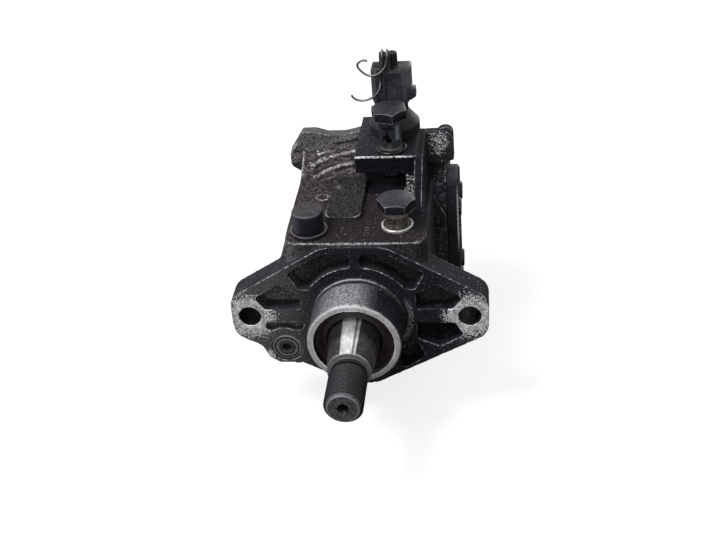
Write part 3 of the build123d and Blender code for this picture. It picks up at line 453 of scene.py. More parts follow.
# %% Floor and bench
def make_floor(height):
    """A large floor under the pump that keeps a soft shadow and is otherwise white to the camera."""
    bpy.ops.object.select_all(action="DESELECT")
    bpy.ops.mesh.primitive_plane_add(size=6.0, location=(0, 0, height))
    floor = bpy.context.object
    floor.name = "floor"
    material = bpy.data.materials.new("floor_paper")
    material.use_nodes = True
    tree = material.node_tree
    tree.nodes.clear()
    paper, glow = tree.nodes.new("ShaderNodeBsdfDiffuse"), tree.nodes.new("ShaderNodeEmission")
    paper.inputs["Color"].default_value = (0.3, 0.3, 0.3, 1.0)
    add, output = tree.nodes.new("ShaderNodeAddShader"), tree.nodes.new("ShaderNodeOutputMaterial")
    tree.links.new(seen_white(tree, paper), glow.inputs["Strength"])
    glow.inputs["Color"].default_value = (0.77, 0.77, 0.77, 1.0)
    tree.links.new(paper.outputs[0], add.inputs[0])
    tree.links.new(glow.outputs[0], add.inputs[1])
    tree.links.new(add.outputs[0], output.inputs["Surface"])
    floor.data.materials.append(material)
    floor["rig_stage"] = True


def make_bench(height):
    """A dark sheet over the floor that only mirror rays see."""
    bpy.ops.object.select_all(action="DESELECT")
    bpy.ops.mesh.primitive_plane_add(size=1.6, location=(0, 0, height))
    bench = bpy.context.object
    bench.name = "bench_in_mirrors"
    material = bpy.data.materials.new("bench_dark")
    material.use_nodes = True
    surface = material.node_tree.nodes["Principled BSDF"]
    surface.inputs["Base Color"].default_value = (0.02, 0.02, 0.022, 1)
    surface.inputs["Roughness"].default_value = 1.0
    bench.data.materials.append(material)
    bench.visible_camera = bench.visible_diffuse = bench.visible_shadow = bench.visible_transmission = False
    bench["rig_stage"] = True


floor_height = solid_box[0].z - 0.2 * MM
make_floor(floor_height)
make_bench(floor_height + 0.3 * MM)
print("floor at", round(floor_height / MM, 2), "mm")

# %% [markdown]
# Three large soft lamps do what a window and two white cards do in a studio. The window gives the light
# from above,
# and the cards keep the front and the back from sinking into black, because the pump is nearly black itself.

# %% Lamps
def make_lamp(name, place, size, power, target=(0, 0, 0.02)):
    """A square soft lamp that points at the pump."""
    data = bpy.data.lights.new(name, "AREA")
    data.shape, data.size, data.energy = "SQUARE", size, power
    lamp = bpy.data.objects.new(name, data)
    bpy.context.collection.objects.link(lamp)
    turn = (Vector(place) - Vector(target)).to_track_quat("Z", "Y")
    lamp.matrix_world = Matrix.Translation(place) @ turn.to_matrix().to_4x4()


make_lamp("window", (-0.45, -0.3, 1.0), 0.4, 12.0)
make_lamp("front_card", (-0.15, -0.9, 0.45), 0.5, 3.0)
make_lamp("rear_card", (0.35, 0.95, 0.3), 0.5, 4.0)
bpy.context.scene.view_settings.view_transform = "Standard"
print("lamps:", len(bpy.data.lights))

# %% [markdown]
# The housing is sand-cast: no edge of a casting is sharp, because sand can't hold a sharp corner and metal
# wears there first.
# A copy of the solid is rebuilt from small cubes and smoothed, which rounds every edge by the same bit,
# inside and outside.
# Folds that the photograph shows on the ramp are added before that step, so that they melt into the casting
# as if poured with it.
# Each fold is a row of low bars through a few places, and the founder's round mark on the deck is a flat ring.

# %% Cast folds and mark
def cast_bar(start, end, width, height):
    """A low bar with a rounded back between two points, to be melted into a casting."""
    start, end = Vector(start) * MM, Vector(end) * MM
    turn = (end - start).to_track_quat("X", "Z").to_euler()
    bpy.ops.object.select_all(action="DESELECT")
    bpy.ops.mesh.primitive_cube_add(size=1.0, location=(start + end) / 2, rotation=turn)
    bar = bpy.context.object
    bar.scale = ((end - start).length, width * MM, height * MM)
    settle(bar, "cast_bar")
    modify(bar, "BEVEL", width=0.3 * min(width, height) * MM, segments=2)
    return bar


def cast_ridge(places, width, height):
    """A low ridge through several places, made of bars that overlap."""
    return [cast_bar(here, there, width, height) for here, there in zip(places, places[1:])]


def cast_ring(place, radius, thickness):
    """A low ring, to be melted into a casting."""
    bpy.ops.object.select_all(action="DESELECT")
    bpy.ops.mesh.primitive_torus_add(
        location=Vector(place) * MM, major_radius=radius * MM, minor_radius=thickness * MM,
        major_segments=40, minor_segments=10,
    )
    return settle(bpy.context.object, "cast_ring")


ridges = (
    ([(-28.5, 69, 43.8), (-25.6, 71.5, 45.2), (-19.9, 74.3, 46.8), (-13.8, 76, 47.7), (-5, 78.2, 48.9)], 3.4, 3.0),
    ([(-26, 76, 47.6), (-18, 78, 48.9), (-10, 80, 50.6), (-4, 81, 51.6)], 2.4, 2.6),
    ([(-26.5, 63, 40.9), (-23.6, 65.1, 41.9), (-20.3, 67.4, 43.2), (-12, 70, 44.8), (-6, 71.3, 45.4)], 2.8, 2.4),
    ([(-30.5, 54, 40.1), (-29.1, 56.5, 40.3), (-23.2, 60.2, 40.5), (-16.5, 63.8, 41.2), (-6, 66, 42.2)], 2.6, 2.2),
    ([(-29.4, 79.8, 48.6), (-22.9, 79.6, 50.2), (-16, 79.6, 51.5)], 1.6, 1.8),
    ([(-20, 79.8, 52.9), (-12, 79.7, 54.4), (-4.2, 79.8, 55.9)], 1.6, 1.4),
)
ribs = [cast_ring((-19.5, 44, 40.8), 2.9, 0.7)]
for places, width, height in ridges:
    ribs += cast_ridge(places, width, height)
print("cast ribs:", len(ribs))

# %% [markdown]
# Now the housing is melted, smoothed and thinned: a flat wall needs few triangles, and only rounded corners
# keep theirs.
# The flange's pockets and the ramp are smoothed once more by hand, because a moulder's wooden pattern was
# worn softest there.
# Last, the whole skin moves in and out by a tenth of a millimetre, as grains of sand leave it. It moves in
# more than out,
# so that the pump grows no larger than its solids.

# %% Housing skin
KEPT_SHARE = 0.3


def cast_skin(node, name, extra=(), cube=0.45, passes=2):
    """A cast piece made from a solid: melted together with extra bars, rounded, and thinned where it is flat."""
    piece = copy_of(node, name)
    if extra:
        join(piece, extra, name)
    modify(piece, "REMESH", mode="VOXEL", voxel_size=cube * MM)
    modify(piece, "SMOOTH", factor=0.5, iterations=passes)
    modify(piece, "DECIMATE", ratio=KEPT_SHARE)
    take(piece)
    bpy.ops.object.shade_smooth()
    return piece


def roughen(piece, size, depth):
    """Moves the surface by a cloud pattern, as sand leaves it, mostly inwards."""
    cloud = bpy.data.textures.new("sand", "CLOUDS")
    cloud.noise_scale, cloud.noise_depth = size * MM, 2
    modify(piece, "DISPLACE", texture=cloud, strength=depth * MM, mid_level=0.75, texture_coords="LOCAL")


def in_flange_pockets(middle, normal):
    """Passes faces between the hub and the ears, behind the flange's face."""
    return 0.4 < middle.y < 13.2 and 24.8 < math.hypot(middle.x, middle.z) < 60


def on_ramp(middle, normal):
    """Passes upper faces of the ramp that rises to the rear flange."""
    return middle.x < -3.8 and 53 < middle.y < 84 and 40.5 < middle.z < 56 and normal.z > 0.1


housing = cast_skin("pump_housing", "housing_skin", ribs, cube=0.5, passes=3)
for test, times in ((in_flange_pockets, 8), (on_ramp, 10)):
    open_with(housing, test)
    bpy.ops.mesh.vertices_smooth(factor=0.5, repeat=times)
    close()
roughen(housing, 3.0, 0.25)
fit(housing, "housing", "housing_casting", "pump_housing")

# %% [markdown]
# The lathe's own work comes next. The nose of the shaft carries a screw thread: a small diamond, carried
# round and forward, cuts it.
# The screw modifier does the carrying. One turn moves by the pitch, 1.5 mm, the standard fine thread for
# this thickness.
# The nose's outline starts at the undercut, runs to the rounded end and goes back in along the centre hole,
# which a lathe's pointed centre needs to hold a shaft true.

# %% Threaded nose
def cut_thread(name, root, pitch, start, length, steps=48):
    """The ridge of a screw thread along Y, all in mm. root is the radius of the core."""
    bpy.ops.object.select_all(action="DESELECT")
    place = Vector((root, start + pitch / 2, 0)) * MM
    bpy.ops.mesh.primitive_circle_add(vertices=4, radius=0.5 * pitch * MM, fill_type="NGON", location=place)
    ridge = bpy.context.object
    ridge.scale = (1.22, 0.94, 1.0)
    settle(ridge, name)
    modify(
        ridge, "SCREW", axis="Y", screw_offset=pitch * MM, iterations=max(1, round(length / pitch) - 1),
        steps=steps, render_steps=steps, use_merge_vertices=True, merge_threshold=1e-6,
    )
    open_with(ridge, everything)
    bpy.ops.mesh.normals_make_consistent(inside=False)
    close()
    return smooth(ridge, 40)


nose_outline = [
    (0, -46.0), (8.1, -46.0), (8.1, -67.2), (7.5, -68.6), (7.1, -69.0),
    (2.7, -69.0), (1.6, -67.4), (1.5, -66.5), (1.5, -63.2), (0, -62.4),
]
nose = turned("shaft_nose", nose_outline)
join(nose, [cut_thread("nose_thread", 8.05, 1.5, -68.3, 21.0)], "shaft_nose")
fit(nose, "shaft", "ground_steel")

# %% [markdown]
# The solid shaft has a plain nose where the threaded one now stands, so its copy is sawn off just behind it.
# A bisect cut that fills its own hole does that in one step and leaves the ground cone and the journals as
# they are.

# %% Shaft without its plain nose
shaft = copy_of("drive_shaft", "shaft_body")
open_with(shaft, everything)
bpy.ops.mesh.bisect(plane_co=Vector((0, -46.2, 0)) * MM, plane_no=(0, -1, 0), clear_outer=True, use_fill=True)
close()
smooth(shaft, 25)
fit(shaft, "shaft", "ground_steel", "drive_shaft")

# %% [markdown]
# Machined and moulded parts have small, even chamfers instead of the casting's soft edges.
# The copy of the solid loses the lines between its flat triangles first, so that the bevel finds only real
# edges.

# %% Small bevels
def edged(node, name, body, slot, width=0.25, segments=2):
    """A copy of a solid whose sharp edges are broken by a small bevel."""
    piece = copy_of(node, name)
    open_with(piece, everything)
    bpy.ops.mesh.dissolve_limited(angle_limit=math.radians(0.5))
    close()
    modify(
        piece, "BEVEL", width=width * MM, segments=segments,
        limit_method="ANGLE", angle_limit=math.radians(35), harden_normals=False,
    )
    smooth(piece, 30)
    return fit(piece, body, slot, node)


edged("plug_shell", "plug_shell_moulded", "plug", "plug_plastic", 0.35)
edged("inlet_cap", "dust_cap", "housing", "cap_plastic", 0.5, segments=3)
edged("lower_banjo_bolt", "lower_hollow_bolt", "housing", "zinc_olive", 0.2)
edged("upper_banjo_bolt", "upper_hollow_bolt", "housing", "dark_hex", 0.2)
edged("side_head_screws", "side_screws", "housing", "black_screw", 0.3)
edged("bottom_head_screws", "bottom_screws", "housing", "black_screw", 0.3)
edged("cover_screws", "rear_screws", "housing", "black_screw", 0.3)
edged("outlet_union", "outlet_pipe_union", "housing", slot_of("outlet_union"), 0.3)

# %% [markdown]
# The metering spool works against a coil spring. Its top end stays where it is, and the coil gets shorter
# when the spool rises.
# A spring can't follow the spool as a stiff part would, so this copy of it stays with the housing and gets a
# mesh of its own.

spring = smooth(copy_of("spool_spring", "spool_spring_coil"), 40)
fit(spring, "housing", slot_of("spool_spring"), "spool_spring")
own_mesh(spring)

# %% [markdown]
# Both heads and the rear cover are castings too. The same way as for the housing melts their corners, in
# finer cubes because they are small.
# The flat faces lose most of their triangles afterwards, since only the corners need them.

# %% Cast heads and cover
for node, name, slot in (
    ("side_head", "side_head_cast", "head_casting"),
    ("bottom_head", "bottom_head_cast", "head_casting"),
    ("rear_cover", "rear_cover_cast", "cover_casting"),
):
    piece = cast_skin(node, name)
    roughen(piece, 2.5, 0.12)
    fit(piece, "housing", slot, node)

# %% [markdown]
# Twenty-one finishes follow. Real metal is never one colour: it has a grain, stains, and pale spots where
# something rubbed it.
# Each finish is a base colour changed by cloudy patterns of two or three sizes, and by masks that say where
# wear and dirt gather and where light and shade are painted in.
# The housing's finish takes the next seven cells. This one makes the patterns that the others share.
# Pointiness is the renderer's word for how far a spot of the mesh stands out or lies in, so it finds edges
# and hollows.

# %% Housing: patterns
cast = Finish("housing_casting_finish")
fine, grain = cast.noise(0.55, 3, 0.6), cast.noise(1.1, 4, 0.65)
spots, stains = cast.noise(2.4, 5, 0.65), cast.noise(11, 4)
front, right = cast.facing("Y") * -1, cast.facing("X")
sharp = cast.node("ShaderNodeNewGeometry", out="Pointiness")
top, ahead = cast.step(cast.facing("Z"), 0.5, 0.8), cast.step(front, 0.5, 0.8)
plain = cast.mottle(grain * 0.6 + stains * 0.4, (30, 29, 33), (54, 53, 57))
print("housing patterns, nodes:", len(cast.tree.nodes))

# %% [markdown]
# Oil and road dirt lie on the housing in different shades, and some places also get painted light and shade,
# so each part of the casting gets its own pair of colours.
# The flange is paler on the left, dark round the hub and grey again towards the right ear.
# Its pockets are darkened as painted shade, paler on the left where the light falls and nearly black on the
# right, and the fillet at the hub's right side shows a thin painted highlight.

# %% Housing: flange
face = cast.mottle(grain, (20, 19, 24), (34, 33, 38))
face = cast.paint(cast.step(cast.x * -1, 14, 44), face, grain, (54, 53, 56), (84, 83, 85))
face = cast.paint(cast.step(cast.x, 36, 56), face, grain, (34, 33, 38), (62, 61, 66))
skin = cast.blend(cast.between(cast.y, -1.5, 1.2, 0.3) * ahead, plain, face)
edge_top = cast.step(cast.x, 5, 20) * cast.between(cast.y, 1, 13.3, 0.4) * top
skin = cast.paint(edge_top, skin, grain, (18, 18, 23), (34, 33, 39))

from_axis = cast.away(0, 0, 0, (1, 0, 1))
# Painted shade in the pockets: darker overall, paler on the left where the light falls, nearly black on the right.
pocket = cast.between(cast.y, 1.8, 12.5, 0.5) * (1 - cast.step(from_axis, 52, 56)) * (1 - top)
skin = cast.paint(pocket, skin, grain, (20, 19, 23), (54, 52, 52))
skin = cast.paint(pocket * cast.step(cast.x * -1, 22, 32), skin, grain, (46, 45, 48), (96, 94, 97))
shaded = cast.step(cast.x, 24, 28) * (1 - cast.step(cast.z, -4, -2))
skin = cast.blend(pocket * shaded, skin, tone(11, 11, 16))
# A thin painted highlight along the fillet at the hub's right side.
fillet_highlight = cast.between(from_axis, 24.0, 26.6, 0.5) * cast.step(cast.x, 17, 21) * cast.between(cast.z, -14, 9, 2)
fillet_highlight = fillet_highlight * (1 - cast.step(cast.y, 2, 4)) * cast.step(grain, 0.42, 0.54)
skin = cast.blend(fillet_highlight, skin, tone(98, 97, 100))
print("flange painted, nodes:", len(cast.tree.nodes))

# %% [markdown]
# The deck is covered in brown-black grime, thinner on the left. The raised pad is greyer, because a cloth
# reaches it first, and the ramp behind it is scratched. The wall of the rear flange above the ramp is bare
# and grey.

# %% Housing: deck and ramp
left_of_block = 1 - cast.step(cast.x, -3.2, -2.6)
deck = top * cast.between(cast.z, 38, 42.9, 0.5) * cast.step(cast.y, 3, 5)
grime = cast.mottle(fine * 0.5 + grain * 0.5, (24, 20, 22), (50, 44, 44), 0.4, 0.6)
grime = cast.paint(cast.step(cast.x * -1, 10, 24), grime, grain, (36, 31, 33), (82, 76, 75), 0.42, 0.64)
skin = cast.blend(deck, skin, grime)
pad = top * cast.between(cast.z, 42.2, 43.5, 0.15) * cast.between(cast.x, -15.9, 1.9, 0.3)
skin = cast.paint(pad * 0.8, skin, cast.noise(1.3, 4, 0.6, (1, 0.4, 1)), (27, 25, 28), (58, 55, 58))
ramp = cast.step(cast.y, 60, 66) * (1 - cast.step(cast.y, 82, 84)) * left_of_block
ramp = ramp * cast.step(cast.z, 40.5, 42) * (1 - cast.step(cast.z, 52, 54))
skin = cast.paint(ramp, skin, cast.noise(1.5, 5, 0.7, (0.45, 1, 1)), (38, 34, 35), (98, 92, 90), 0.42, 0.66)
rear_wall = cast.step(cast.y, 78, 80) * cast.step(cast.z, 48, 52) * left_of_block
skin = cast.paint(rear_wall, skin, grain, (54, 53, 56), (104, 103, 104))
print("deck and ramp painted, nodes:", len(cast.tree.nodes))

# %% [markdown]
# The block that carries the metering valve is oily and nearly black, and its front is painted darker than its
# top as shade. The gap under it and the strip on its right are painted nearly black as shadow, and the
# long right wall is dark. Only the small box beside the rear flange was rubbed, along its outer corner.

# %% Housing: block and right wall
block = cast.between(cast.x, -3.1, 27.3, 0.2) * cast.step(cast.y, 51, 51.6) * cast.step(cast.z, 44, 45)
# The block is oily and nearly black, and its front is painted darker than its top as shade.
skin = cast.paint(block, skin, grain, (9, 9, 14), (19, 19, 26))
skin = cast.paint(block * top, skin, grain, (15, 15, 20), (31, 31, 37))
skin = cast.paint(block * top * (1 - cast.step(cast.x, 4, 18)), skin, grain, (26, 25, 30), (50, 49, 54))
# Painted shadow: the gap under the block is nearly black.
shadow_under_block = cast.between(cast.x, -3.4, 20.8, 0.3) * cast.between(cast.y, 48.5, 79, 0.6) * cast.between(cast.z, 37, 52.0, 0.3)
skin = cast.paint(shadow_under_block * (1 - pad), skin, grain, (10, 10, 14), (24, 24, 29))
# Painted shade: the strip right of the block is nearly black.
shaded_strip = cast.step(cast.x, 26.8, 27.6) * cast.step(cast.y, 6, 20) * (1 - cast.step(cast.y, 79, 79.8))
shaded_strip = shaded_strip * cast.step(cast.z, 39, 39.8) * (1 - cast.step(cast.x, 34.4, 34.8))
skin = cast.paint(shaded_strip, skin, grain, (13, 13, 18), (26, 25, 30))
flank = cast.step(right, 0.3, 0.7) * cast.step(cast.x, 30, 32) * cast.step(cast.y, 14, 16)
skin = cast.paint(flank, skin, cast.noise(2.2, 5, 0.65, (1, 1, 0.6)), (34, 33, 38), (62, 61, 67), 0.4, 0.7)
web = ahead * cast.step(cast.x, 33, 34) * cast.step(cast.y, 59, 60) * (1 - cast.step(cast.y, 78, 79))
skin = cast.paint(web, skin, spots, (40, 39, 45), (96, 95, 100), 0.42, 0.7)
box_top = cast.between(cast.x, 34.8, 60, 0.4) * cast.step(cast.y, 59, 60) * (1 - cast.step(cast.y, 79, 79.8)) * top
skin = cast.paint(box_top, skin, grain + cast.x * 0.012, (24, 23, 27), (104, 102, 102), 0.98, 1.12)
print("block and wall painted, nodes:", len(cast.tree.nodes))

# %% [markdown]
# Hollows are darkened as painted shade, and the bores of the two bolt holes are painted nearly black as shade.
# Bare metal shows where something rubbed or clamped: round the two bolt holes,
# on the rear ear, on the chipped rim of the lower left lobe, on the round mark, and in a speckled spot
# beside the block. The swell of the rear flange gets a painted highlight, laid in specks with the bare places.

# %% Housing: painted shade in hollows, and bare places
# Painted shade in hollows, where the surface lies in.
skin = cast.blend((1 - cast.step(sharp, 0.43, 0.495)) * 0.8, skin, tone(10, 9, 12))
EAR = 53.5
hole = cast.smaller(cast.away(-EAR, 0, 0, (1, 0, 1)), cast.away(EAR, 0, 0, (1, 0, 1)))
# Painted shade: the bores of the two bolt holes are nearly black.
skin = cast.blend((1 - cast.step(hole, 5.3, 5.7)) * cast.step(cast.y, 0.5, 1.2), skin, tone(12, 12, 15))

ears = (1 - cast.step(hole, 6, 21)) * cast.step(front, 0.2, 0.7) * (1 - cast.step(cast.y, 0.8, 1.4))
chips = (1 - cast.step(cast.away(-46.8, 0, -23.5, (1, 0.3, 1)), 2.5, 5)) * 0.9
rear_ear = 1 - cast.step(cast.away(37.0, 80, 51.0, (1, 1, 0.9)), 2.5, 10.5)
rear_ear = rear_ear * cast.step(cast.x, 27.4, 28) * 0.7
mark = cast.between(cast.away(-19.5, 44, 0, (1, 1, 0)), 2.3, 3.5, 0.3) * cast.between(cast.z, 40.6, 42, 0.2) * 0.55
# A painted highlight on the swell of the rear flange.
swell_highlight = cast.between(cast.z, 43, 50.5, 1.5) * cast.between(cast.y, 78.0, 83, 0.8)
swell_highlight = swell_highlight * (1 - cast.step(cast.x, -27, -14)) * 0.46
speckled = cast.between(cast.x, 20.6, 27.2, 0.4) * cast.between(cast.y, 46, 53.2, 0.5)
speckled = speckled * (1 - cast.step(cast.z, 49.5, 51.5)) * 0.55
lip = cast.step(cast.x, -3.3, -3) * (1 - cast.step(cast.x, 25.5, 26.5)) * cast.between(cast.y, 51.5, 52.8, 0.2)
lip = lip * cast.step(cast.z, 57.9, 58.3) * 0.85
bare_and_highlit = cast.larger(cast.larger(cast.larger(ears, chips), cast.larger(mark, swell_highlight)),
                   cast.larger(rear_ear, cast.larger(speckled, lip)))
print("bare places marked, nodes:", len(cast.tree.nodes))

# %% [markdown]
# Wear never has a smooth border. The marked places are multiplied with the grain, so that they end in
# specks, and worn edges break up too.
# The crests of the ramp's folds get painted highlights, the deck's front corner is rubbed, and a few flecks
# lie anywhere except in the oily and shaded places.

# %% Housing: wear and painted highlights
# The bare places, the swell's painted highlight among them, end in specks here.
worn = cast.step(grain * 0.75 + fine * 0.25 + bare_and_highlit * 0.36, 0.71, 0.8) * cast.step(bare_and_highlit, 0.02, 0.1)
edge = cast.step(sharp, 0.515, 0.57) * cast.step(spots + top * 0.12, 0.42, 0.62) * 0.8 * (1 - shadow_under_block)
# Painted highlights on the crests of the ramp's folds.
crest_highlights = cast.step(sharp, 0.502, 0.525) * ramp * cast.step(grain, 0.42, 0.56) * 0.62
corner = cast.between(cast.y, 2.0, 3.0, 0.2) * cast.step(cast.z, 39.2, 39.7) * cast.between(cast.x, -32, 26, 1)
corner = corner * cast.step(grain, 0.4, 0.52) * 0.46
# The edge mask now holds worn edges and the crests' painted highlights.
edge = cast.larger(cast.larger(edge, crest_highlights), corner)
quiet = cast.larger(cast.larger(shadow_under_block, block * ahead), cast.larger(pocket, shaded_strip))
flecks = cast.step(grain, 0.63, 0.7) * cast.step(stains, 0.38, 0.6) * 0.5 * (1 - quiet)
alloy = cast.mottle(fine * 0.45 + spots * 0.55, (140, 139, 141), (232, 232, 235), 0.42, 0.58)
wear_and_highlights = cast.larger(worn, cast.larger(edge, flecks))
colour = cast.blend(wear_and_highlights, skin, alloy)
print("wear laid, nodes:", len(cast.tree.nodes))

# %% [markdown]
# The hub is the only turned place of the casting, because it centres the pump in the engine. Its sides are
# painted as light and shade: grey on top, darker on the left and dark on its right flank, where grime adds to
# the painted shade. Its end face is pale, and two fine painted highlights mark the chamfers. Its bore is brown
# with old oil from the seal.

# %% Housing: hub
hub = (1 - cast.step(from_axis, 23.4, 24.2)) * (1 - cast.step(cast.y, -1.2, -0.4))
turned_skin = cast.mottle(cast.noise(0.9, 4, 0.6, (1, 0.7, 1)), (96, 95, 99), (164, 163, 167))
# Painted shade: the left side darker than the top, and the right flank darker still, with grime there too.
turned_skin = cast.paint(cast.step(right * -1, 0.3, 0.9) * 0.9, turned_skin, grain, (46, 45, 49), (80, 79, 83))
turned_skin = cast.paint(cast.step(right, 0.05, 0.55), turned_skin, grain, (22, 22, 27), (46, 46, 52))
# Painted highlights on the two chamfers of the end face.
chamfer_highlights = cast.larger(cast.between(from_axis, 22.0, 23.2, 0.15), cast.between(from_axis, 18.7, 19.6, 0.15))
end_face = cast.mottle(cast.noise(0.8, 4, 0.65), (150, 147, 148), (186, 184, 186))
end_face = cast.blend(chamfer_highlights * 0.7, end_face, tone(218, 218, 220))
turned_skin = cast.blend(1 - cast.step(cast.y, -22.6, -22.2), turned_skin, end_face)
bore = hub * (1 - cast.step(from_axis, 18.3, 18.9))
colour = cast.blend(hub, colour, cast.blend(edge, turned_skin, alloy))
colour = cast.blend(bore, colour, tone(24, 21, 22))

shine = cast.larger(wear_and_highlights * 0.5, hub * (1 - bore) * 0.4)
height = fine * 0.2 + grain * 0.4 + spots * 0.5 + deck * cast.noise(1.5, 4) * 0.8
height = height * (1 - hub * 0.75)
housing_finish = cast.lay(colour, 0.7 - shine * 0.35, shine, height, 0.35, {"Specular IOR Level": 0.06})
print("housing finish, nodes:", len(cast.tree.nodes))

# %% [markdown]
# Heads and covers are cast from the same alloy but were handled less, so they need only two shades, stains
# and worn edges. The side head also gets painted highlights: a line down its front outer chamfer and specks
# along its top.

# %% Cast aluminium of heads and covers
def casting_finish(name, dark, pale, shift, level=0.2):
    """Cast aluminium with stains, worn edges and painted highlights. shift moves the patterns, and level is how much it
    gleams.
    """
    f = Finish(name)
    grain, spots = f.noise(0.9, 4, shift=shift), f.noise(2.4, 5, 0.6, shift=shift)
    stains = f.noise(14, 4, shift=shift)
    edge = f.edges(0.6) * f.step(spots, 0.35, 0.6)
    skin = f.mottle(stains * 0.6 + grain * 0.4, dark, pale, 0.35, 0.62)
    skin = f.blend(f.step(spots, 0.6, 0.72) * 0.4, skin, tone(104, 103, 106))
    colour = f.blend(edge * 0.75, skin, tone(160, 160, 164))
    # Painted highlight down the front outer chamfer of the side head.
    front_chamfer_highlight = f.between(f.y, 59, 61.6, 0.3) * f.step(f.x, 46.0, 46.3) * f.between(f.z, 2, 34, 6)
    colour = f.blend(front_chamfer_highlight * f.step(grain, 0.38, 0.5), colour, tone(196, 196, 200))
    # Painted highlight in specks along the top of the side head.
    crown_highlight = f.step(f.z, 39.4, 39.9) * f.step(grain, 0.46, 0.56) * f.step(f.facing("Z"), 0.3, 0.7)
    colour = f.blend(crown_highlight * f.step(f.y, 72, 80) * 0.7, colour, tone(150, 149, 152))
    height = grain * 0.3 + spots * 0.7
    return f.lay(colour, 0.64 - edge * 0.2, edge * 0.5, height, 0.22, {"Specular IOR Level": level})


head_finish = casting_finish("head_casting_finish", (24, 24, 29), (44, 43, 48), 3.0, 0.06)
cover_finish = casting_finish("cover_casting_finish", (60, 59, 63), (98, 97, 101), 7.0)
print("head and cover:", head_finish.name, cover_finish.name)

# %% [markdown]
# Small steel parts share one recipe: fine marks from machining, a few stains, and bright edges where a tool
# or a cloth rubbed.

# %% Steels
def steel_finish(name, base, rough, stain=0.3, shift=0.0, metal=1.0, edge_tone=None, level=0.5):
    """Bare or blackened steel: fine marks, a few stains, and brighter edges where they are wanted."""
    f = Finish(name)
    marks, cloud = f.noise(0.5, 3, 0.6, shift=shift), f.noise(4, 4, shift=shift)
    darker = tuple(v * 0.45 for v in base[:3]) + (1.0,)
    brighter = tuple(min(1, v * 1.35) for v in base[:3]) + (1.0,)
    colour = f.blend(f.step(cloud, 0.45, 0.7) * stain, base, darker)
    colour = f.blend(f.step(marks, 0.4, 0.7) * 0.35, colour, brighter)
    if edge_tone:
        colour = f.blend(f.edges(0.3) * f.step(cloud, 0.3, 0.5), colour, edge_tone)
    return f.lay(colour, f.step(cloud, 0.3, 0.8) * 0.15 + rough, metal, marks, 0.03, {"Specular IOR Level": level})


steel = {
    "bearing_steel": steel_finish("bearing_steel_finish", tone(190, 190, 194), 0.18, 0.15),
    "spring_steel": steel_finish("spring_steel_finish", tone(120, 120, 126), 0.3, 0.3, 2.0),
    "black_screw": steel_finish(
        "black_screw_finish", tone(52, 51, 55), 0.42, 0.4, 4.0, 0.5, edge_tone=tone(150, 150, 154), level=0.3
    ),
    "bronze_bush": steel_finish("bronze_bush_finish", tone(164, 128, 78), 0.35, 0.4, 9.0),
    "cage_brass": steel_finish("cage_brass_finish", tone(196, 164, 96), 0.32, 0.3, 10.0),
    "valve_can": steel_finish("valve_can_finish", tone(31, 31, 36), 0.46, 0.5, 11.0, 0.3, level=0.25),
    "clip_wire": steel_finish("clip_wire_finish", tone(100, 99, 100), 0.32, 0.5, 12.0, 0.85),
    "tin_pin": steel_finish("tin_pin_finish", tone(200, 200, 200), 0.2, 0.1, 13.0),
    "rotor_steel": steel_finish("rotor_steel_finish", tone(150, 150, 156), 0.3, 0.3, 15.0),
}
print("steels, bronze and brass:", len(steel))

# %% [markdown]
# The shaft shows three states of one steel. The cone was ground and a pulley kept it clean, the thread
# holds old oil, and the end is dull.
# The cone has long marks from fitting and pulling the pulley, so its pattern is stretched along the shaft.
# The cone's colour is painted reflection: its dark base stands for the dark housing round it, and the bright
# stripe on it stands for the window's mirror image, which oil breaks up on a real shaft. A narrower stripe
# beside it is painted reflection too, and a bright band at the small end of the cone is a painted highlight.
# The thread's sides are darkened as painted shade, the centre hole in the nose is painted black as shade, and
# the rim of the nose end carries a painted highlight.

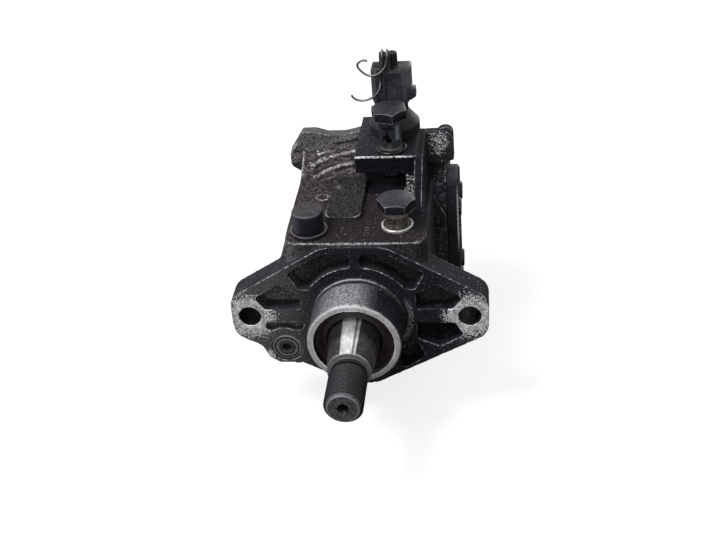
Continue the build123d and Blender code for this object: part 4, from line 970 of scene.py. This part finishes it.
# %% Ground steel of the shaft
def ground_steel_finish():
    """The shaft: a ground cone with painted reflections, an oily thread darkened at its sides as painted shade, and a
    dull nose end with a painted highlight on its rim and painted shade in its centre hole.
    """
    f = Finish("ground_steel_finish")
    marks, fine, cloud = f.noise(0.7, 3, 0.6, (1, 0.12, 1)), f.noise(0.8, 3), f.noise(3.0, 4, 0.6)
    right, lit = f.facing("X"), f.step(f.facing("Z"), 0.3, 0.6)
    radius = f.away(0, 0, 0, (1, 0, 1))

    cone = f.between(f.y, -43.3, 0, 0.2)
    bright = f.mottle(cloud * 0.5 + marks * 0.5, (196, 196, 199), (250, 250, 252))
    # Painted reflection on the cone: a dark base for the dark housing round it, and two bright stripes.
    cone_reflection = f.mottle(cloud * 0.6 + marks * 0.4, (44, 44, 46), (82, 82, 84))
    cone_reflection = f.blend(f.between(right, -0.36, 0.16, 0.05) * lit, cone_reflection, bright)
    cone_reflection = f.blend(f.between(right, 0.23, 0.33, 0.03) * lit * 0.8, cone_reflection, bright)
    # Painted highlight: a bright band at the small end of the cone.
    cone_reflection = f.blend(f.between(f.y, -43.4, -42.2, 0.15) * 0.6, cone_reflection, tone(186, 186, 188))

    crest = f.step(radius, 8.35, 8.85)
    oily = f.blend(crest, f.mottle(fine, (9, 9, 12), (20, 19, 23)), f.mottle(fine, (32, 31, 36), (58, 57, 62)))
    # Painted shade: the thread is darker on its sides.
    oily = f.blend((1 - f.between(right, -0.3, 0.5, 0.3)) * 0.75, oily, tone(24, 24, 29))
    oily = f.blend(f.between(f.y, -46.0, -43.4, 0.2) * 0.7, oily, tone(26, 25, 27))

    nose_end = f.mottle(f.noise(1.4, 4), (50, 50, 53), (82, 82, 85))
    # Painted highlight on the rim of the nose end, and painted shade in its centre hole.
    nose_end = f.blend(f.between(radius, 6.7, 7.4, 0.15) * 0.7, nose_end, tone(128, 128, 132))
    nose_end = f.blend(1 - f.step(radius, 2.6, 2.9), nose_end, tone(16, 16, 18))
    oily = f.blend((1 - f.step(f.y, -66.2, -65.8)) * (1 - f.step(radius, 7.9, 8.1)), oily, nose_end)
    colour, height = f.blend(cone, oily, cone_reflection), marks * 0.6 + fine * 0.4
    return f.lay(colour, 0.52 - cone * 0.2, 0.25 + cone * 0.5, height, 0.03, {"Specular IOR Level": 0.3})


shaft_finish = ground_steel_finish()
print("shaft:", shaft_finish.name)

# %% [markdown]
# Rubber and plastic don't shine like metal. A film of dust makes them paler in patches, and corners that
# rubbed are paler still.
# The dust cap and the plug's shell are moulded in plastic, and each of their sides has its own shade. The
# cap's left side is painted paler as light, and its rim carries a painted highlight.

# %% Rubber and plastic
def dull_finish(name, base, worn, rough, shift=0.0):
    """Black or brown rubber with a film of dust."""
    f = Finish(name)
    grain, film = f.noise(0.45, 3, shift=shift), f.noise(3.2, 5, 0.6, shift=shift)
    colour = f.blend(f.step(film, 0.42, 0.68) * 0.35, base, worn)
    height = grain * 0.5 + film * 0.5
    return f.lay(colour, f.step(film, 0.3, 0.7) * 0.15 + rough, 0.0, height, 0.08, {"Specular IOR Level": 0.25})


def cap_finish():
    """The dust cap: nearly black sides, painted paler on the left as light, a paler top and a rim with a painted
    highlight.
    """
    f = Finish("cap_plastic_finish")
    film, grain = f.noise(2.6, 5, 0.6, shift=3.0), f.noise(0.5, 3)
    up = f.facing("Z")
    # Painted light: the left side of the cap is paler.
    left = f.step(f.facing("X") * -1, 0.2, 0.9)
    side = f.blend(left * 0.8, f.mottle(film, (16, 14, 20), (30, 27, 35)), tone(70, 66, 76))
    colour = f.paint(f.step(up, 0.6, 0.9), side, film, (32, 30, 33), (56, 54, 58))
    # Painted highlight on the cap's rim.
    rim = f.between(up, 0.3, 0.85, 0.1) * f.step(film, 0.3, 0.55)
    colour = f.blend(rim * 0.45, colour, tone(104, 102, 108))
    return f.lay(colour, 0.5, 0.0, grain, 0.05, {"Specular IOR Level": 0.2})


def plug_finish():
    """The plug's shell: dusty top, blue-black front field, grey right facet and a black lug."""
    f = Finish("plug_plastic_finish")
    film, grain = f.noise(2.2, 5, 0.6, shift=4.0), f.noise(0.5, 3)
    across = f.facing("X")
    colour = f.mottle(film, (24, 26, 32), (44, 47, 55))
    colour = f.paint(f.step(across, 0.15, 0.5), colour, film, (62, 62, 69), (92, 93, 100))
    colour = f.paint(f.step(across * -1, 0.15, 0.6), colour, film, (46, 46, 51), (70, 70, 75))
    colour = f.paint(f.step(f.facing("Z"), 0.5, 0.85), colour, film, (15, 15, 18), (34, 34, 38))
    colour = f.blend(f.edges(0.3) * 0.55, colour, tone(112, 112, 120))
    colour = f.blend(f.step(f.z, 94.2, 94.6), colour, tone(20, 20, 23))
    return f.lay(colour, 0.46, 0.0, grain * 0.5 + film * 0.5, 0.05, {"Specular IOR Level": 0.25})


soft = {
    "rubber_black": dull_finish("rubber_black_finish", tone(20, 20, 22), tone(46, 45, 46), 0.6, 1.0),
    "seal_brown": dull_finish("seal_brown_finish", tone(30, 23, 22), tone(56, 46, 44), 0.5, 2.0),
    "cap_plastic": cap_finish(),
    "plug_plastic": plug_finish(),
}
print("rubber and plastic:", len(soft))

# %% [markdown]
# The two hollow bolts have blackened heads. A spanner rubbed only the rim of each head, so the chamfer is
# pale and the flats stay dark, and the top of each head is painted paler than its flats as light.
# The lower shank still has its olive plating with a pale band, and the upper one is dark with a painted glint.

# %% Hollow bolts
def bolt_finish(name, head_z, shank_dark, shank_pale, band_low, band_high):
    """A hollow bolt whose head starts at head_z mm, with a pale band on its shank."""
    f = Finish(name)
    patches, fine = f.noise(1.8, 4, 0.6), f.noise(0.5, 3)
    skirt = f.mottle(patches, (12, 12, 17), (26, 26, 33))
    # Painted light: the top of the head is paler than its flats.
    hexagon = f.paint(f.step(f.facing("Z"), 0.3, 0.5), skirt, patches, (33, 32, 37), (53, 52, 57))
    hexagon = f.blend(f.edges(0.8, 0.05, 0.1) * f.step(patches, 0.25, 0.42), hexagon, tone(164, 163, 167))
    shank = f.mottle(patches, shank_dark, shank_pale)
    shank = f.blend(f.between(f.z, band_low, band_high, 0.3) * 0.5, shank, tone(150, 147, 132))
    # Painted highlight: a glint where the upper shank faces right.
    glint = f.between(f.facing("X"), 0.55, 0.85, 0.08) * f.between(f.z, 66, 74, 0.8)
    shank = f.blend(glint * 0.8, shank, tone(128, 134, 142))
    colour = f.blend(f.step(f.z, head_z - 0.2, head_z), shank, hexagon)
    return f.lay(colour, 0.44 + fine * 0.12, 0.35, fine, 0.03, {"Specular IOR Level": 0.25})


bolts = {
    "dark_hex": bolt_finish("dark_hex_finish", 76.7, (20, 21, 25), (56, 58, 62), 61, 61.5),
    "zinc_olive": bolt_finish("zinc_olive_finish", 50.1, (40, 37, 32), (92, 88, 78), 47, 48.6),
}
print("hollow bolts:", len(bolts))

# %% [markdown]
# The sealing washers under the bolts are soft metal, bright where they are clean and black where oil crept out.
# The gallery plug beside the hub was turned, so rings of light and dirt lie round its brown hole.

# %% Washers and gallery plug
def washer_finish():
    """Soft sealing washers: bright where clean, with dark oil on the right."""
    f = Finish("bright_washer_finish")
    patches = f.noise(1.6, 4, 0.6)
    clean = f.mottle(patches, (150, 148, 144), (214, 212, 206), 0.3, 0.55)
    oily = f.mottle(patches, (18, 17, 18), (44, 41, 40))
    centre = f.smaller(f.away(19.75, 17.5, 0, (1, 1, 0)), f.away(14.7, 60, 0, (1, 1, 0)))
    share = f.larger(f.step(patches + f.step(f.z, 50, 55) * 0.22, 0.54, 0.6), 1 - f.step(centre, 6.5, 6.8))
    return f.lay(f.blend(share, clean, oily), 0.34, 0.5, patches, 0.05, {"Specular IOR Level": 0.25})


def gallery_finish():
    """The gallery plug: turned rings, a groove full of dirt and a brown hole. The cap's collar shares it."""
    f = Finish("plug_metal_finish")
    patches, radius = f.noise(1.6, 5, 0.6), f.away(-37.2, 0, -19.1, (1, 0, 1))
    colour = f.mottle(patches, (62, 58, 60), (104, 99, 101))
    for low, high, paint in (
        (6.6, 7.3, (150, 148, 150)), (5.6, 6.1, (30, 28, 30)), (4.7, 5.1, (128, 125, 126)), (3.2, 3.9, (44, 40, 42)),
    ):
        colour = f.blend(f.between(radius, low, high, 0.12) * f.step(patches, 0.25, 0.45), colour, tone(*paint))
    colour = f.blend(1 - f.step(radius, 2.2, 2.8), colour, tone(34, 24, 24))
    rim = f.between(f.away(-22.1, 13.2, 0, (1, 1, 0)), 8.3, 8.9, 0.1)
    collar = f.blend(rim, f.mottle(patches, (24, 22, 25), (44, 42, 45)), tone(104, 102, 104))
    colour = f.blend(f.step(f.z, 20, 30), colour, collar)
    return f.lay(colour, 0.5, 0.5, patches, 0.05, {"Specular IOR Level": 0.3})


rings = {"bright_washer": washer_finish(), "plug_metal": gallery_finish()}
print("washers and gallery plug:", len(rings))

# %% [markdown]
# Every piece names its slot, and the solids that still show carry theirs from the drawing. One loop gives
# each its finish.

# %% Put the finishes on
finish = {
    "housing_casting": housing_finish, "head_casting": head_finish, "cover_casting": cover_finish,
    "ground_steel": shaft_finish, **steel, **soft, **bolts, **rings,
}
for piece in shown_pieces():
    if "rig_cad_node" in piece:
        for place in piece.material_slots:
            place.material = finish[place.material.name.split(".")[0]]
    else:
        piece.data.materials.clear()
        piece.data.materials.append(finish[piece["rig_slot"]])

# %% [markdown]
# The last cell writes the size of the solids beside the size of the dressed pump, to show that dressing
# changed neither.

# %% Finish
shown_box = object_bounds()
grown = [max(a - b, d - c) for a, b, c, d in zip(solid_box[0], shown_box[0], solid_box[1], shown_box[1])]
print("grown by mm:", [round(value / MM, 3) for value in grown])
